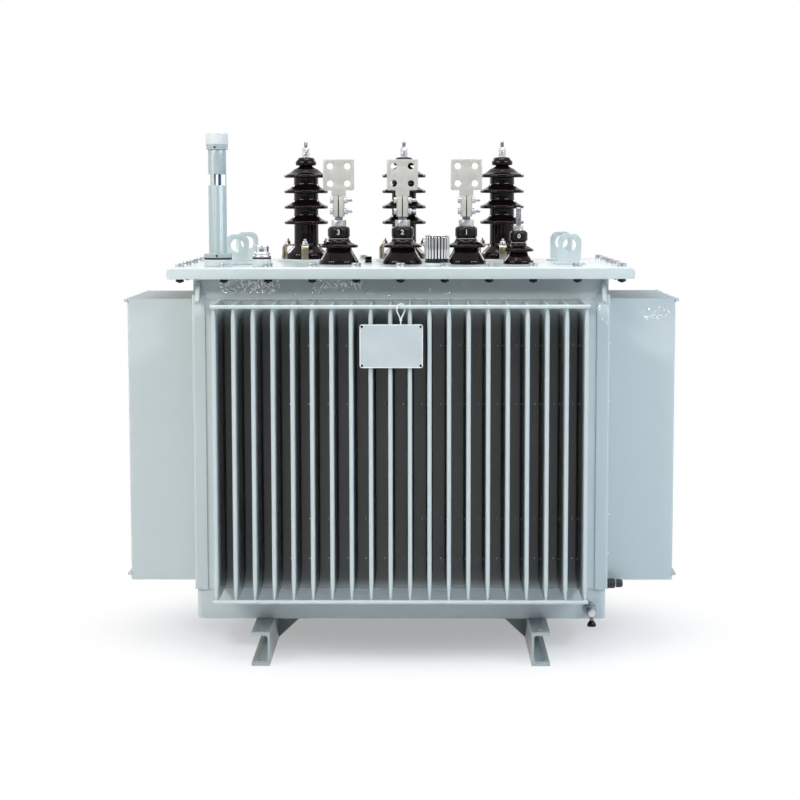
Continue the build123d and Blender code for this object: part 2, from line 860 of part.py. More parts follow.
with BuildPart() as gauge_tube:
    with BuildSketch(Plane.XY.offset(gauge_collar_z)):
        with Locations((gauge_x, gauge_y)):
            Circle(gauge_flange_radius)
    extrude(amount=gauge_collar_height)
    with BuildSketch(Plane.XY.offset(gauge_tube_z)):
        with Locations((gauge_x, gauge_y)):
            Circle(gauge_tube_radius)
            Circle(gauge_tube_radius - gauge_tube_wall, mode=Mode.SUBTRACT)
    extrude(amount=gauge_tube_height)
    with BuildSketch(Plane.XY.offset(gauge_ring_z - gauge_window_drop - gauge_window_height)):
        with Locations((gauge_x, gauge_y)):
            with PolarLocations(0, gauge_window_count, start_angle=gauge_window_turn):
                Rectangle(
                    gauge_flange_radius,
                    gauge_window_width,
                    align=(Align.MIN, Align.CENTER),
                )
    extrude(amount=gauge_window_height, mode=Mode.SUBTRACT)
gauge_tube.part.label = "gauge_tube"
export_step(gauge_tube.part, "parts/gauge_tube.step")

with BuildPart() as gauge_float:
    with BuildSketch(Plane.XY.offset(gauge_tube_z)):
        with Locations((gauge_x + gauge_float_shift, gauge_y)):
            Circle(gauge_float_radius)
    extrude(amount=gauge_tube_height)
gauge_float.part.label = "gauge_float"
export_step(gauge_float.part, "parts/gauge_float.step")

with BuildPart() as gauge_cap:
    with BuildSketch(Plane.XY.offset(gauge_ring_z)):
        with Locations((gauge_x, gauge_y)):
            Circle(gauge_ring_radius)
    extrude(amount=gauge_ring_height)
    with BuildSketch(Plane.XY.offset(gauge_cap_z)):
        with Locations((gauge_x, gauge_y)):
            Circle(gauge_cap_radius)
    extrude(amount=gauge_cap_height)
    chamfer(gauge_cap.faces().sort_by(Axis.Z)[-1].edges(), gauge_cap_edge)
gauge_cap.part.label = "gauge_cap"
export_step(gauge_cap.part, "parts/gauge_cap.step")

# Oil filler
filler_cap_z = lid_top + filler_height + filler_gasket + filler_flange
with BuildPart() as filler_neck:
    with BuildSketch(Plane.XY.offset(lid_top)):
        with Locations((filler_x, filler_y)):
            Circle(filler_radius)
    extrude(amount=filler_height)
filler_neck.part.label = "filler_neck"
export_step(filler_neck.part, "parts/filler_neck.step")

with BuildPart() as filler_cap:
    with BuildSketch(Plane.XY.offset(lid_top + filler_height + filler_gasket)):
        with Locations((filler_x, filler_y)):
            Circle(filler_radius)
    extrude(amount=filler_flange)
    with BuildSketch(Plane.XY.offset(filler_cap_z)):
        with Locations((filler_x, filler_y)):
            Circle(filler_cap_radius)
    extrude(amount=filler_cap_height)
    chamfer(filler_cap.faces().sort_by(Axis.Z)[-1].edges(), filler_cap_edge)
filler_cap.part.label = "filler_cap"
export_step(filler_cap.part, "parts/filler_cap.step")

# Rubber gaskets under the gauge and the filler
with BuildPart() as fitting_gaskets:
    with BuildSketch(Plane.XY.offset(gauge_gasket_z)):
        with Locations((gauge_x, gauge_y)):
            Circle(gauge_flange_radius)
    extrude(amount=gauge_gasket_height)
    with BuildSketch(Plane.XY.offset(lid_top + filler_height)):
        with Locations((filler_x, filler_y)):
            Circle(filler_radius)
    extrude(amount=filler_gasket)
fitting_gaskets.part.label = "fitting_gaskets"
export_step(fitting_gaskets.part, "parts/fitting_gaskets.step")

# Relief valve with a fluted housing
relief_flange_z = lid_top + relief_base_height
relief_body_z = relief_flange_z + relief_flange_height
with BuildPart() as relief_base:
    with BuildSketch(Plane.XY.offset(lid_top)):
        with Locations((relief_x, relief_y)):
            Circle(relief_base_radius)
    extrude(amount=relief_base_height)
relief_base.part.label = "relief_base"
export_step(relief_base.part, "parts/relief_base.step")

with BuildPart() as relief_valve:
    with BuildSketch(Plane.XY.offset(relief_flange_z)):
        with Locations((relief_x, relief_y)):
            Circle(relief_flange_radius)
    extrude(amount=relief_flange_height)
    with BuildSketch(Plane.XY.offset(relief_body_z)):
        with Locations((relief_x, relief_y)):
            Circle(relief_radius)
            with PolarLocations(relief_radius, relief_flute_count):
                Circle(relief_flute_radius, mode=Mode.SUBTRACT)
    extrude(amount=relief_height)
relief_valve.part.label = "relief_valve"
export_step(relief_valve.part, "parts/relief_valve.step")

with BuildPart() as lid_plug:
    with BuildSketch(Plane.XY.offset(lid_top)):
        with Locations((plug_x, plug_y)):
            Circle(plug_radius)
    extrude(amount=plug_height)
    chamfer(lid_plug.faces().sort_by(Axis.Z)[-1].edges(), plug_edge)
lid_plug.part.label = "lid_plug"
export_step(lid_plug.part, "parts/lid_plug.step")

# Lifting lugs, four arched plates on base pads
with BuildPart() as lifting_lugs:
    for row in (-lug_y, lug_y):
        with BuildSketch(Plane.XZ.offset(-row - lug_thickness / 2)) as lug:
            with Locations((lug_shift, lid_top + lug_pad_height)):
                with GridLocations(2 * lug_x, 0, 2, 1):
                    Rectangle(lug_width, lug_height, align=(Align.CENTER, Align.MIN))
            fillet(lug.vertices().group_by(Axis.Y)[-1], lug_corner)
            with Locations((lug_shift, lid_top + lug_hole_height + lug_pad_height)):
                with GridLocations(2 * lug_x, 0, 2, 1):
                    Circle(lug_hole_diameter / 2, mode=Mode.SUBTRACT)
        extrude(amount=lug_thickness)
        with BuildSketch(Plane.XY.offset(lid_top)):
            with Locations((lug_shift, row)):
                with GridLocations(2 * lug_x, 0, 2, 1):
                    RectangleRounded(lug_pad_length, lug_pad_depth, lug_pad_height)
        extrude(amount=lug_pad_height)
lifting_lugs.part.label = "lifting_lugs"
export_step(lifting_lugs.part, "parts/lifting_lugs.step")

# Drain valve low on the front of the base box
valve_z = channel_height + valve_height
valve_front = half_depth + valve_body_length
valve_stem_y = -valve_front + valve_stem_setback
with BuildPart() as drain_valve:
    with BuildSketch(Plane.XZ.offset(half_depth)):
        with Locations((valve_x, valve_z)):
            Circle(valve_flange_radius)
    extrude(amount=valve_flange_thickness)
    with BuildSketch(Plane.XZ.offset(half_depth)):
        with Locations((valve_x, valve_z)):
            Circle(valve_body_radius)
    extrude(amount=valve_body_length)
    with BuildSketch(Plane.XY.offset(valve_z - valve_stem_length)):
        with Locations((valve_x, valve_stem_y)):
            Circle(valve_stem_radius)
    extrude(amount=valve_stem_length)
drain_valve.part.label = "drain_valve"
export_step(drain_valve.part, "parts/drain_valve.step")

with BuildPart() as valve_knob:
    with BuildSketch(Plane.XY.offset(valve_z - valve_stem_length - valve_knob_height)):
        with Locations((valve_x, valve_stem_y)):
            Circle(valve_knob_radius)
    extrude(amount=valve_knob_height)
    chamfer(valve_knob.faces().sort_by(Axis.Z)[-1].edges(), valve_knob_edge)
valve_knob.part.label = "valve_knob"
export_step(valve_knob.part, "parts/valve_knob.step")

# Short dark stub low on the right side, behind the corner post
stub_z = box_top + stub_height
with BuildPart() as side_stub:
    with BuildSketch(Plane.YZ.offset(half_length)):
        with Locations((stub_y, stub_z)):
            Circle(stub_radius)
    extrude(amount=stub_length)
    with BuildSketch(Plane.YZ.offset(half_length + stub_length)):
        with Locations((stub_y, stub_z)):
            Circle(stub_cap_radius - stub_neck_length)
    extrude(amount=stub_neck_length)
    with BuildSketch(Plane.YZ.offset(half_length + stub_length + stub_neck_length)):
        with Locations((stub_y, stub_z)):
            Circle(stub_cap_radius)
    extrude(amount=stub_cap_length)
side_stub.part.label = "side_stub"
export_step(side_stub.part, "parts/side_stub.step")

# Tie looped over the top front bar between two fins, with a head and a straight tail
middle_gap = front_fin_count % 2 * fin_pitch / 2
tie_x = middle_gap + tie_offset
tie_y = -front_tip - bar_radius
tie_arc_z = wall_top - front_bar_drop + bar_radius + tie_radius + tie_clearance - tie_bend
tie_end_z = tie_arc_z - tie_drop
tie_plane = Plane(
    origin=(tie_x, tie_y, tie_arc_z),
    x_dir=Vector(1, 0, 0).rotate(Axis.Z, tie_turn),
    z_dir=Vector(0, -1, 0).rotate(Axis.Z, tie_turn),
)
tie_lean = degrees(asin(tie_bend / tie_drop))
tie_strand = sqrt(tie_drop**2 - tie_bend**2)
with BuildPart() as plate_tie:
    with BuildLine(tie_plane):
        bow = CenterArc((0, 0), tie_bend, -tie_lean, 180 + 2 * tie_lean)
    with BuildSketch(Plane(origin=bow @ 0, z_dir=bow % 0)):
        Circle(tie_radius)
    sweep(path=bow)
    with BuildSketch(Plane(origin=bow @ 0, z_dir=-(bow % 0)), Plane(origin=bow @ 1, z_dir=bow % 1)):
        Circle(tie_radius)
    extrude(amount=tie_strand)
    with BuildSketch(Plane.XY.offset(tie_end_z + tie_head_height / 2)):
        with Locations((tie_x, tie_y)):
            Circle(tie_head_radius)
    extrude(amount=-tie_head_height)
    with BuildSketch(Plane.XY.offset(tie_end_z)):
        with Locations((tie_x, tie_y)):
            Circle(tie_radius)
    extrude(amount=-(tie_end_z - wall_top + plate_drop + tie_tail))
plate_tie.part.label = "plate_tie"
export_step(plate_tie.part, "parts/plate_tie.step")

# Bare plate that hangs on the tie's tail
plate_top = wall_top - plate_drop
plate_x = tie_x - plate_shift
with BuildPart() as name_plate:
    with BuildSketch(Plane.XZ.offset(tie_radius - tie_y)):
        with Locations((plate_x, plate_top - plate_height / 2)):
            RectangleRounded(plate_width, plate_height, plate_corner)
    extrude(amount=plate_thickness)
name_plate.part.label = "name_plate"
export_step(name_plate.part, "parts/name_plate.step")
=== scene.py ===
import json
import math
import random

import bmesh
import bpy
from mathutils import Matrix, Vector, noise


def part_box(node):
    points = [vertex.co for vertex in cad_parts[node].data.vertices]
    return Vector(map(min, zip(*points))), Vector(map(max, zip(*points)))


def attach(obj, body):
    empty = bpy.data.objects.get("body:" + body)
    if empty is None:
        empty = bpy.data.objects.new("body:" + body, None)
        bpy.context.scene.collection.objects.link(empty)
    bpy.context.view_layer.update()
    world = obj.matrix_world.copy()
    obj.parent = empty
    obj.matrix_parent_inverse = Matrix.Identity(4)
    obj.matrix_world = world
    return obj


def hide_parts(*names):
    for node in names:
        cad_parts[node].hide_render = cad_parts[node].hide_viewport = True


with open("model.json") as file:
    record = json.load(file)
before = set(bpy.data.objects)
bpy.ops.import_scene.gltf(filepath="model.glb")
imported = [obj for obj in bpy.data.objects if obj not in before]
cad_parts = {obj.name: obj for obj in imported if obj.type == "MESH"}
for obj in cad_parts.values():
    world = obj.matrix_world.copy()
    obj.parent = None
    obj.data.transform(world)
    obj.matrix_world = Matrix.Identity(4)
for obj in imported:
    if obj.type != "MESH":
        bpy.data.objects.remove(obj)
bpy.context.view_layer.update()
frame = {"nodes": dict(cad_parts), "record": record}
scene = bpy.context.scene
nodes = frame["nodes"]
mounts = {mount["name"]: mount for mount in frame["record"]["mounts"]}
FULL_TURN = 2 * math.pi
MM = 0.001
UP = Vector((0, 0, 1))


# Finishes
def screen(red, green, blue):
    """A colour as it reads on a screen, turned into the linear value that a shader takes."""
    parts = [((level / 255 + 0.055) / 1.055) ** 2.4 for level in (red, green, blue)]
    return (*parts, 1.0)


class Finish:
    """A material with its shader, and the textures that give it depth."""

    def __init__(self, name, colour, roughness, metallic=0.0, coat=0.0, specular=0.5):
        self.material = bpy.data.materials.new(name)
        self.material.use_nodes = True
        self.tree = self.material.node_tree
        self.shader = self.tree.nodes["Principled BSDF"]
        self.colour = colour
        self.shader.inputs["Base Color"].default_value = colour
        self.shader.inputs["Roughness"].default_value = roughness
        self.shader.inputs["Metallic"].default_value = metallic
        self.shader.inputs["Coat Weight"].default_value = coat
        self.shader.inputs["Coat Roughness"].default_value = 0.08
        self.shader.inputs["Specular IOR Level"].default_value = specular

    def noise(self, size, detail=2.0, stretch=(1, 1, 1)):
        """Soft noise whose features are about that size in metres."""
        place = self.tree.nodes.new("ShaderNodeTexCoord")
        mapping = self.tree.nodes.new("ShaderNodeMapping")
        mapping.inputs["Scale"].default_value = stretch
        texture = self.tree.nodes.new("ShaderNodeTexNoise")
        texture.inputs["Scale"].default_value = 1 / size
        texture.inputs["Detail"].default_value = detail
        self.tree.links.new(place.outputs["Object"], mapping.inputs["Vector"])
        self.tree.links.new(mapping.outputs["Vector"], texture.inputs["Vector"])
        return texture.outputs["Fac"]

    def mottled(self, other, size, share=(0.35, 0.65), detail=3.0, stretch=(1, 1, 1)):
        """The colour drifts towards another one in patches."""
        spread = self.tree.nodes.new("ShaderNodeMapRange")
        spread.inputs["From Min"].default_value = share[0]
        spread.inputs["From Max"].default_value = share[1]
        mix = self.tree.nodes.new("ShaderNodeMix")
        mix.data_type = "RGBA"
        mix.inputs["A"].default_value = self.colour
        mix.inputs["B"].default_value = other
        self.tree.links.new(self.noise(size, detail, stretch), spread.inputs["Value"])
        self.tree.links.new(spread.outputs["Result"], mix.inputs["Factor"])
        self.tree.links.new(mix.outputs["Result"], self.shader.inputs["Base Color"])
        return self

    def uneven_gloss(self, low, high, size, stretch=(1, 1, 1)):
        """The roughness drifts between two values."""
        spread = self.tree.nodes.new("ShaderNodeMapRange")
        spread.inputs["From Min"].default_value = 0.3
        spread.inputs["From Max"].default_value = 0.7
        spread.inputs["To Min"].default_value = low
        spread.inputs["To Max"].default_value = high
        self.tree.links.new(self.noise(size, 3.0, stretch), spread.inputs["Value"])
        self.tree.links.new(spread.outputs["Result"], self.shader.inputs["Roughness"])
        return self

    def grained(self, height, size, detail=2.0, stretch=(1, 1, 1)):
        """A fine relief of that height in metres."""
        bump = self.tree.nodes.new("ShaderNodeBump")
        bump.inputs["Strength"].default_value = 1.0
        bump.inputs["Distance"].default_value = height
        self.tree.links.new(self.noise(size, detail, stretch), bump.inputs["Height"])
        self.tree.links.new(bump.outputs["Normal"], self.shader.inputs["Normal"])
        return self


def glossy_paint(name, colour, shade):
    """Sprayed enamel: a soft sheen over a slightly wavy sheet."""
    paint = Finish(name, colour, 0.22, specular=0.62)
    paint.mottled(shade, 0.5, (0.25, 0.75), 1.0)
    paint.uneven_gloss(0.17, 0.26, 0.4)
    paint.grained(0.0011, 0.16, 1.0)
    return paint


def shaded_fin_paint(name, depth_axis, root, tip, half_row, bottom):
    """The tank's enamel with painted shade deep between the fins of one wall, weaker near their open top and bottom.
    """
    paint = glossy_paint(name, TANK_COLOUR, TANK_SHADE)
    tree = paint.tree
    place = tree.nodes.new("ShaderNodeTexCoord")
    parts = tree.nodes.new("ShaderNodeSeparateXYZ")
    tree.links.new(place.outputs["Object"], parts.inputs["Vector"])
    row_axis = "X" if depth_axis == "Y" else "Y"

    def distance_along(axis):
        distance = tree.nodes.new("ShaderNodeMath")
        distance.operation = "ABSOLUTE"
        tree.links.new(parts.outputs[axis], distance.inputs[0])
        return distance.outputs["Value"]

    # Painted shade: the colour darkens from the fin tips back towards the roots, between the fins only.
    depth = tree.nodes.new("ShaderNodeMapRange")
    depth.interpolation_type = "SMOOTHSTEP"
    depth.inputs["From Min"].default_value = tip - 2 * MM
    depth.inputs["From Max"].default_value = root + 0.45 * (tip - root)
    tree.links.new(distance_along(depth_axis), depth.inputs["Value"])
    between = tree.nodes.new("ShaderNodeMath")
    between.operation = "LESS_THAN"
    between.inputs[1].default_value = half_row
    tree.links.new(distance_along(row_axis), between.inputs[0])
    share = tree.nodes.new("ShaderNodeMath")
    share.operation = "MULTIPLY"
    tree.links.new(depth.outputs["Result"], share.inputs[0])
    tree.links.new(between.outputs["Value"], share.inputs[1])
    shaded = share.outputs["Value"]
    # The painted shade is a quarter as strong at the open top and bottom of the gaps, where light gets in.
    for start, end in ((wall_top + 5 * MM, wall_top - 75 * MM), (bottom - 8 * MM, bottom + 28 * MM)):
        opening = tree.nodes.new("ShaderNodeMapRange")
        opening.interpolation_type = "SMOOTHSTEP"
        opening.inputs["From Min"].default_value = start
        opening.inputs["From Max"].default_value = end
        opening.inputs["To Min"].default_value = 0.25
        tree.links.new(parts.outputs["Z"], opening.inputs["Value"])
        closed = tree.nodes.new("ShaderNodeMath")
        closed.operation = "MULTIPLY"
        tree.links.new(shaded, closed.inputs[0])
        tree.links.new(opening.outputs["Result"], closed.inputs[1])
        shaded = closed.outputs["Value"]
    mix = tree.nodes.new("ShaderNodeMix")
    mix.data_type = "RGBA"
    mix.inputs["B"].default_value = GAP_SHADE_COLOUR
    lit = paint.shader.inputs["Base Color"].links[0].from_socket
    tree.links.new(shaded, mix.inputs["Factor"])
    tree.links.new(lit, mix.inputs["A"])
    tree.links.new(mix.outputs["Result"], paint.shader.inputs["Base Color"])
    return paint.material


def plated_metal(name, colour, shade, low, high):
    """Bright plating with faint handling marks."""
    metal = Finish(name, colour, low, metallic=1.0)
    metal.mottled(shade, 0.02)
    metal.uneven_gloss(low, high, 0.01)
    metal.grained(0.00002, 0.003)
    return metal.material


def moulded(name, colour, shade, low, high, specular=0.5):
    """Moulded plastic, rubber or glaze, with a little unevenness."""
    mould = Finish(name, colour, low, specular=specular)
    mould.mottled(shade, 0.02)
    mould.uneven_gloss(low, high, 0.03)
    mould.grained(0.00005, 0.003)
    return mould.material


TANK_COLOUR, TANK_SHADE = screen(194, 204, 206), screen(189, 200, 203)
# Painted shade for deep between the fins.
GAP_SHADE_COLOUR = screen(100, 107, 107)
tank_paint = glossy_paint("tank_enamel", TANK_COLOUR, TANK_SHADE).material
lid_paint = glossy_paint("lid_enamel", screen(204, 214, 216), screen(199, 210, 212)).material
# The feet and their gussets take a darker copy of the tank's enamel: painted shade.
foot_shaded_paint = glossy_paint("foot_shaded_enamel", screen(168, 178, 179), screen(158, 168, 170)).material
# The lugs take a darker copy of the lid's enamel: painted shade.
lug_shaded_paint = glossy_paint("lug_shaded_enamel", screen(190, 202, 205), screen(184, 197, 201)).material
weld_paint = Finish("painted_weld", TANK_COLOUR, 0.3)
weld_paint = weld_paint.mottled(screen(172, 182, 184), 0.01).grained(0.0005, 0.005, 1.0).material
porcelain_glaze = moulded("brown_glaze", screen(23, 12, 14), screen(16, 8, 10), 0.04, 0.07, 0.19)
cap_plastic = moulded("black_moulding", screen(14, 12, 14), screen(20, 18, 20), 0.15, 0.24, 0.25)
rubber = moulded("black_rubber", screen(22, 22, 23), screen(32, 32, 33), 0.6, 0.8)
zinc = plated_metal("zinc_plating", screen(216, 218, 221), screen(200, 203, 207), 0.26, 0.36)
steel_stud = plated_metal("plated_stud", screen(184, 185, 188), screen(156, 157, 161), 0.28, 0.4)
tin = Finish("tinned_copper", screen(193, 191, 185), 0.5, metallic=0.4)
tin = tin.mottled(screen(186, 185, 179), 0.05).uneven_gloss(0.45, 0.55, 0.02)
tin = tin.grained(0.00001, 0.0008, 2.0, (1, 1, 8)).material
brass = plated_metal("yellow_plating", screen(188, 178, 158), screen(142, 131, 110), 0.26, 0.4)
bright = plated_metal("bright_plating", screen(226, 228, 231), screen(214, 217, 221), 0.05, 0.1)
white_cap = moulded("white_moulding", screen(211, 215, 218), screen(205, 210, 213), 0.35, 0.45)
gauge_paint = glossy_paint("gauge_enamel", screen(166, 182, 184), screen(160, 177, 180)).material
float_blue = moulded("blue_float", screen(40, 70, 150), screen(50, 82, 166), 0.3, 0.4)
dark_plastic = moulded("dark_grey_moulding", screen(44, 46, 50), screen(34, 36, 40), 0.35, 0.45, 0.4)
plate_metal = Finish("satin_plate", screen(192, 201, 204), 0.4, metallic=0.1)
plate_metal = plate_metal.mottled(screen(186, 196, 199), 0.05).grained(0.00001, 0.002).material
# Near-white enamel on the fins' spot welds: painted highlights.
spot_highlight_paint = Finish("spot_highlight_enamel", screen(240, 246, 247), 0.12, coat=0.5)
spot_highlight_paint = spot_highlight_paint.mottled(screen(226, 233, 235), 0.01).material
# Near-white metallic colour for the weld spatter: painted glints.
spatter_glint_paint = Finish("spatter_glint_paint", screen(252, 253, 253), 0.12, metallic=0.85, coat=0.5)
spatter_glint_paint = spatter_glint_paint.mottled(screen(240, 243, 244), 0.01).material
dull_steel = plated_metal("dull_plating", screen(150, 152, 156), screen(122, 124, 128), 0.28, 0.42)
dark_steel = plated_metal("blackened_steel", screen(58, 60, 62), screen(38, 40, 42), 0.35, 0.5)
ring_grey = moulded("grey_sealing_ring", screen(150, 147, 143), screen(126, 123, 120), 0.5, 0.7)
number_white = moulded("white_number_paint", screen(214, 212, 206), screen(196, 194, 188), 0.5, 0.7)
dark_bright = plated_metal("shaded_plating", screen(52, 52, 54), screen(30, 30, 32), 0.15, 0.25)
# A lighter colour for the plate's border and edges: painted highlight.
plate_rim_highlight = Finish("plate_border_highlight", screen(230, 234, 235), 0.4, metallic=0.1)
plate_rim_highlight = plate_rim_highlight.mottled(screen(220, 226, 228), 0.02).grained(0.00001, 0.002).material
nylon = moulded("white_nylon", screen(232, 234, 234), screen(222, 225, 226), 0.4, 0.5)

node_finish = {
    "tank_paint": tank_paint,
    "lid_paint": lid_paint,
    "gasket_rubber": rubber,
    "porcelain": porcelain_glaze,
    "plated_steel": zinc,
    "stud_steel": steel_stud,
    "clamp_brass": brass,
    "cap_black": cap_plastic,
    "tinned_metal": tin,
    "gauge_grey": gauge_paint,
    "float_blue": float_blue,
    "cap_white": white_cap,
    "bright_metal": bright,
    "knob_black": cap_plastic,
    "stub_grey": dark_plastic,
    "plate_grey": plate_metal,
    "tie_white": nylon,
}
slot_of = {part["node"]: part["material_slot"] for part in frame["record"]["subparts"]}
for node_name, node in nodes.items():
    node.data.materials.clear()
    node.data.materials.append(node_finish[slot_of[node_name]])


# Working shapes, sized in millimetres
def add_piece(name, mesh, finish, slot, *stands_for, crease=32):
    """Turn a worked shape into an object on the tank, smooth apart from its sharp bends."""
    bmesh.ops.recalc_face_normals(mesh, faces=mesh.faces)
    data = bpy.data.meshes.new(name)
    mesh.to_mesh(data)
    mesh.free()
    data.materials.append(finish)
    data.shade_smooth()
    data.set_sharp_from_angle(angle=math.radians(crease))
    piece = bpy.data.objects.new(name, data)
    scene.collection.objects.link(piece)
    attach(piece, "root")
    if stands_for:
        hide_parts(*stands_for)
    return piece


def turned(corners, steps=64, round_steps=4):
    """A closed turned solid from (radius, height, rounding) corners, from the bottom up."""
    mesh = bmesh.new()
    points = [mesh.verts.new((radius * MM, 0, height * MM)) for radius, height, _ in corners]
    for first, second in zip(points, points[1:]):
        mesh.edges.new((first, second))
    for point, (_, _, rounding) in zip(points, corners):
        if rounding:
            bmesh.ops.bevel(
                mesh,
                geom=[point],
                affect="VERTICES",
                offset=rounding * MM,
                segments=round_steps,
                profile=0.5,
                material=-1,
                clamp_overlap=True,
            )
    bmesh.ops.spin(
        mesh,
        geom=[*mesh.verts, *mesh.edges],
        cent=(0, 0, 0),
        axis=UP,
        angle=FULL_TURN,
        steps=steps,
        use_merge=True,
    )
    bmesh.ops.remove_doubles(mesh, verts=mesh.verts, dist=0.01 * MM)
    return mesh


def placed(mesh, place=(0, 0, 0), turn=0.0, axis="Z"):
    """Turn a shape about an axis through the origin, in degrees, then move it, in metres."""
    matrix = Matrix.Translation(place) @ Matrix.Rotation(math.radians(turn), 4, axis)
    bmesh.ops.transform(mesh, matrix=matrix, verts=mesh.verts)
    return mesh


def repeated(mesh, places):
    """The shape at each of the places, in metres."""
    shape = [*mesh.verts, *mesh.edges, *mesh.faces]
    for place in places[1:]:
        copy = bmesh.ops.duplicate(mesh, geom=shape)["geom"]
        corners = [item for item in copy if isinstance(item, bmesh.types.BMVert)]
        bmesh.ops.translate(mesh, verts=corners, vec=place)
    corners = [item for item in shape if isinstance(item, bmesh.types.BMVert)]
    bmesh.ops.translate(mesh, verts=corners, vec=places[0])
    return mesh


def gathered(*meshes):
    """Several worked shapes as one."""
    whole = bmesh.new()
    for mesh in meshes:
        data = bpy.data.meshes.new("shape")
        mesh.to_mesh(data)
        mesh.free()
        whole.from_mesh(data)
        bpy.data.meshes.remove(data)
    return whole


def eased(mesh, width, segments=2, angle=30):
    """Round off the edges that are sharper than the angle."""
    sharp = [
        edge
        for edge in mesh.edges
        if edge.is_manifold and edge.calc_face_angle() > math.radians(angle)
    ]
    bmesh.ops.bevel(
        mesh,
        geom=sharp,
        affect="EDGES",
        offset=width * MM,
        segments=segments,
        profile=0.5,
        material=-1,
        clamp_overlap=True,
    )
    return mesh


def softened(node, width, segments=2, angle=30, finish=None):
    """A node's own shape with its sharp edges eased, as paint and handling leave them."""
    mesh = bmesh.new()
    mesh.from_mesh(nodes[node].data)
    bmesh.ops.remove_doubles(mesh, verts=mesh.verts, dist=0.01 * MM)
    bmesh.ops.dissolve_limit(
        mesh, angle_limit=math.radians(0.5), verts=mesh.verts, edges=mesh.edges
    )
    eased(mesh, width, segments, angle)
    slot = slot_of[node]
    return add_piece(f"{node}_eased", mesh, finish or node_finish[slot], slot, node)


def block(low, high):
    """A square-edged block between two corners, in metres."""
    mesh = bmesh.new()
    bmesh.ops.create_cube(mesh, size=1)
    low, high = Vector(low), Vector(high)
    bmesh.ops.scale(mesh, verts=mesh.verts, vec=high - low)
    bmesh.ops.translate(mesh, verts=mesh.verts, vec=(low + high) / 2)
    return mesh


def hexagon(across, height):
    """A nut or bolt head that stands on the origin, with its corners turned down."""
    mesh = bmesh.new()
    radius = across * MM / math.sqrt(3)
    bmesh.ops.create_cone(
        mesh, cap_ends=True, segments=6, radius1=radius, radius2=radius, depth=height * MM
    )
    bmesh.ops.translate(mesh, verts=mesh.verts, vec=(0, 0, height * MM / 2))
    bmesh.ops.rotate(mesh, verts=mesh.verts, matrix=Matrix.Rotation(math.radians(30), 3, "Z"))
    bmesh.ops.bevel(
        mesh,
        geom=mesh.verts[:],
        affect="VERTICES",
        offset=across * 0.09 * MM,
        segments=2,
        profile=0.5,
        material=-1,
    )
    return eased(mesh, 0.35, 1, 50)


def washer(radius, thickness):
    return turned([(0, 0, 0), (radius, 0, 0.3), (radius, thickness, 0.5), (0, thickness, 0)], 32, 2)


def threaded(radius, length, pitch, steps=24):
    """A threaded rod that stands on the origin, with a chamfered end."""
    root = radius - 0.6 * pitch
    corners = [(0, 0, 0), (root, 0, 0)]
    turns = int((length - pitch) / pitch)
    for turn in range(turns):
        corners.append((radius, (turn + 0.5) * pitch, 0))
        corners.append((root, (turn + 1) * pitch, 0))
    corners += [(root, length, 0.3), (0, length, 0)]
    return turned(corners, steps, 2)


def bead(start, end, radius, ripple=3.0):
    """A rippled weld bead between two points, in metres."""
    start, end = Vector(start), Vector(end)
    along = end - start
    rings = max(4, round(along.length / (ripple * MM)))
    mesh = bmesh.new()
    bmesh.ops.create_circle(mesh, cap_ends=False, segments=8, radius=radius * MM)
    bmesh.ops.spin(
        mesh,
        geom=[*mesh.verts, *mesh.edges],
        cent=(0, 0, 0),
        axis=UP,
        dvec=(0, 0, along.length / rings),
        angle=0,
        steps=rings,
    )
    for vert in mesh.verts:
        ring = round(vert.co.z * rings / along.length)
        swell = 0.82 + 0.3 * (ring % 2) + 0.2 * noise.noise((ring * 0.7, along.length * 9, 0))
        vert.co.x *= swell
        vert.co.y *= swell
    bmesh.ops.holes_fill(mesh, edges=mesh.edges, sides=8)
    turn = UP.rotation_difference(along).to_matrix().to_4x4()
    bmesh.ops.transform(mesh, matrix=Matrix.Translation(start) @ turn, verts=mesh.verts)
    return mesh


def drops(places, sizes, detail=1):
    """Small round lumps of weld at the places, each with its own size along X, Y and Z."""
    mesh = bmesh.new()
    for place, size in zip(places, sizes):
        lump = bmesh.ops.create_icosphere(mesh, subdivisions=detail, radius=1)["verts"]
        bmesh.ops.scale(mesh, verts=lump, vec=Vector(size) * MM)
        bmesh.ops.translate(mesh, verts=lump, vec=place)
    return mesh


def corners_of(node):
    low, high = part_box(node)
    return Vector(low), Vector(high)


# Cooling walls
FIN_PITCH = 45 * MM
FIN_HALF, FIN_SEAM = 5 * MM, 1.5 * MM
TOP_TAPER, BOTTOM_TAPER = 26 * MM, 40 * MM
box_low, box_high = corners_of("base_box")
wall_top = corners_of("front_wall")[1].z
FIN_STATIONS = ((3, 1.25), (8, 1.0), (-4.6, 1.0), (-1.8, 0.84), (0, 0.5))


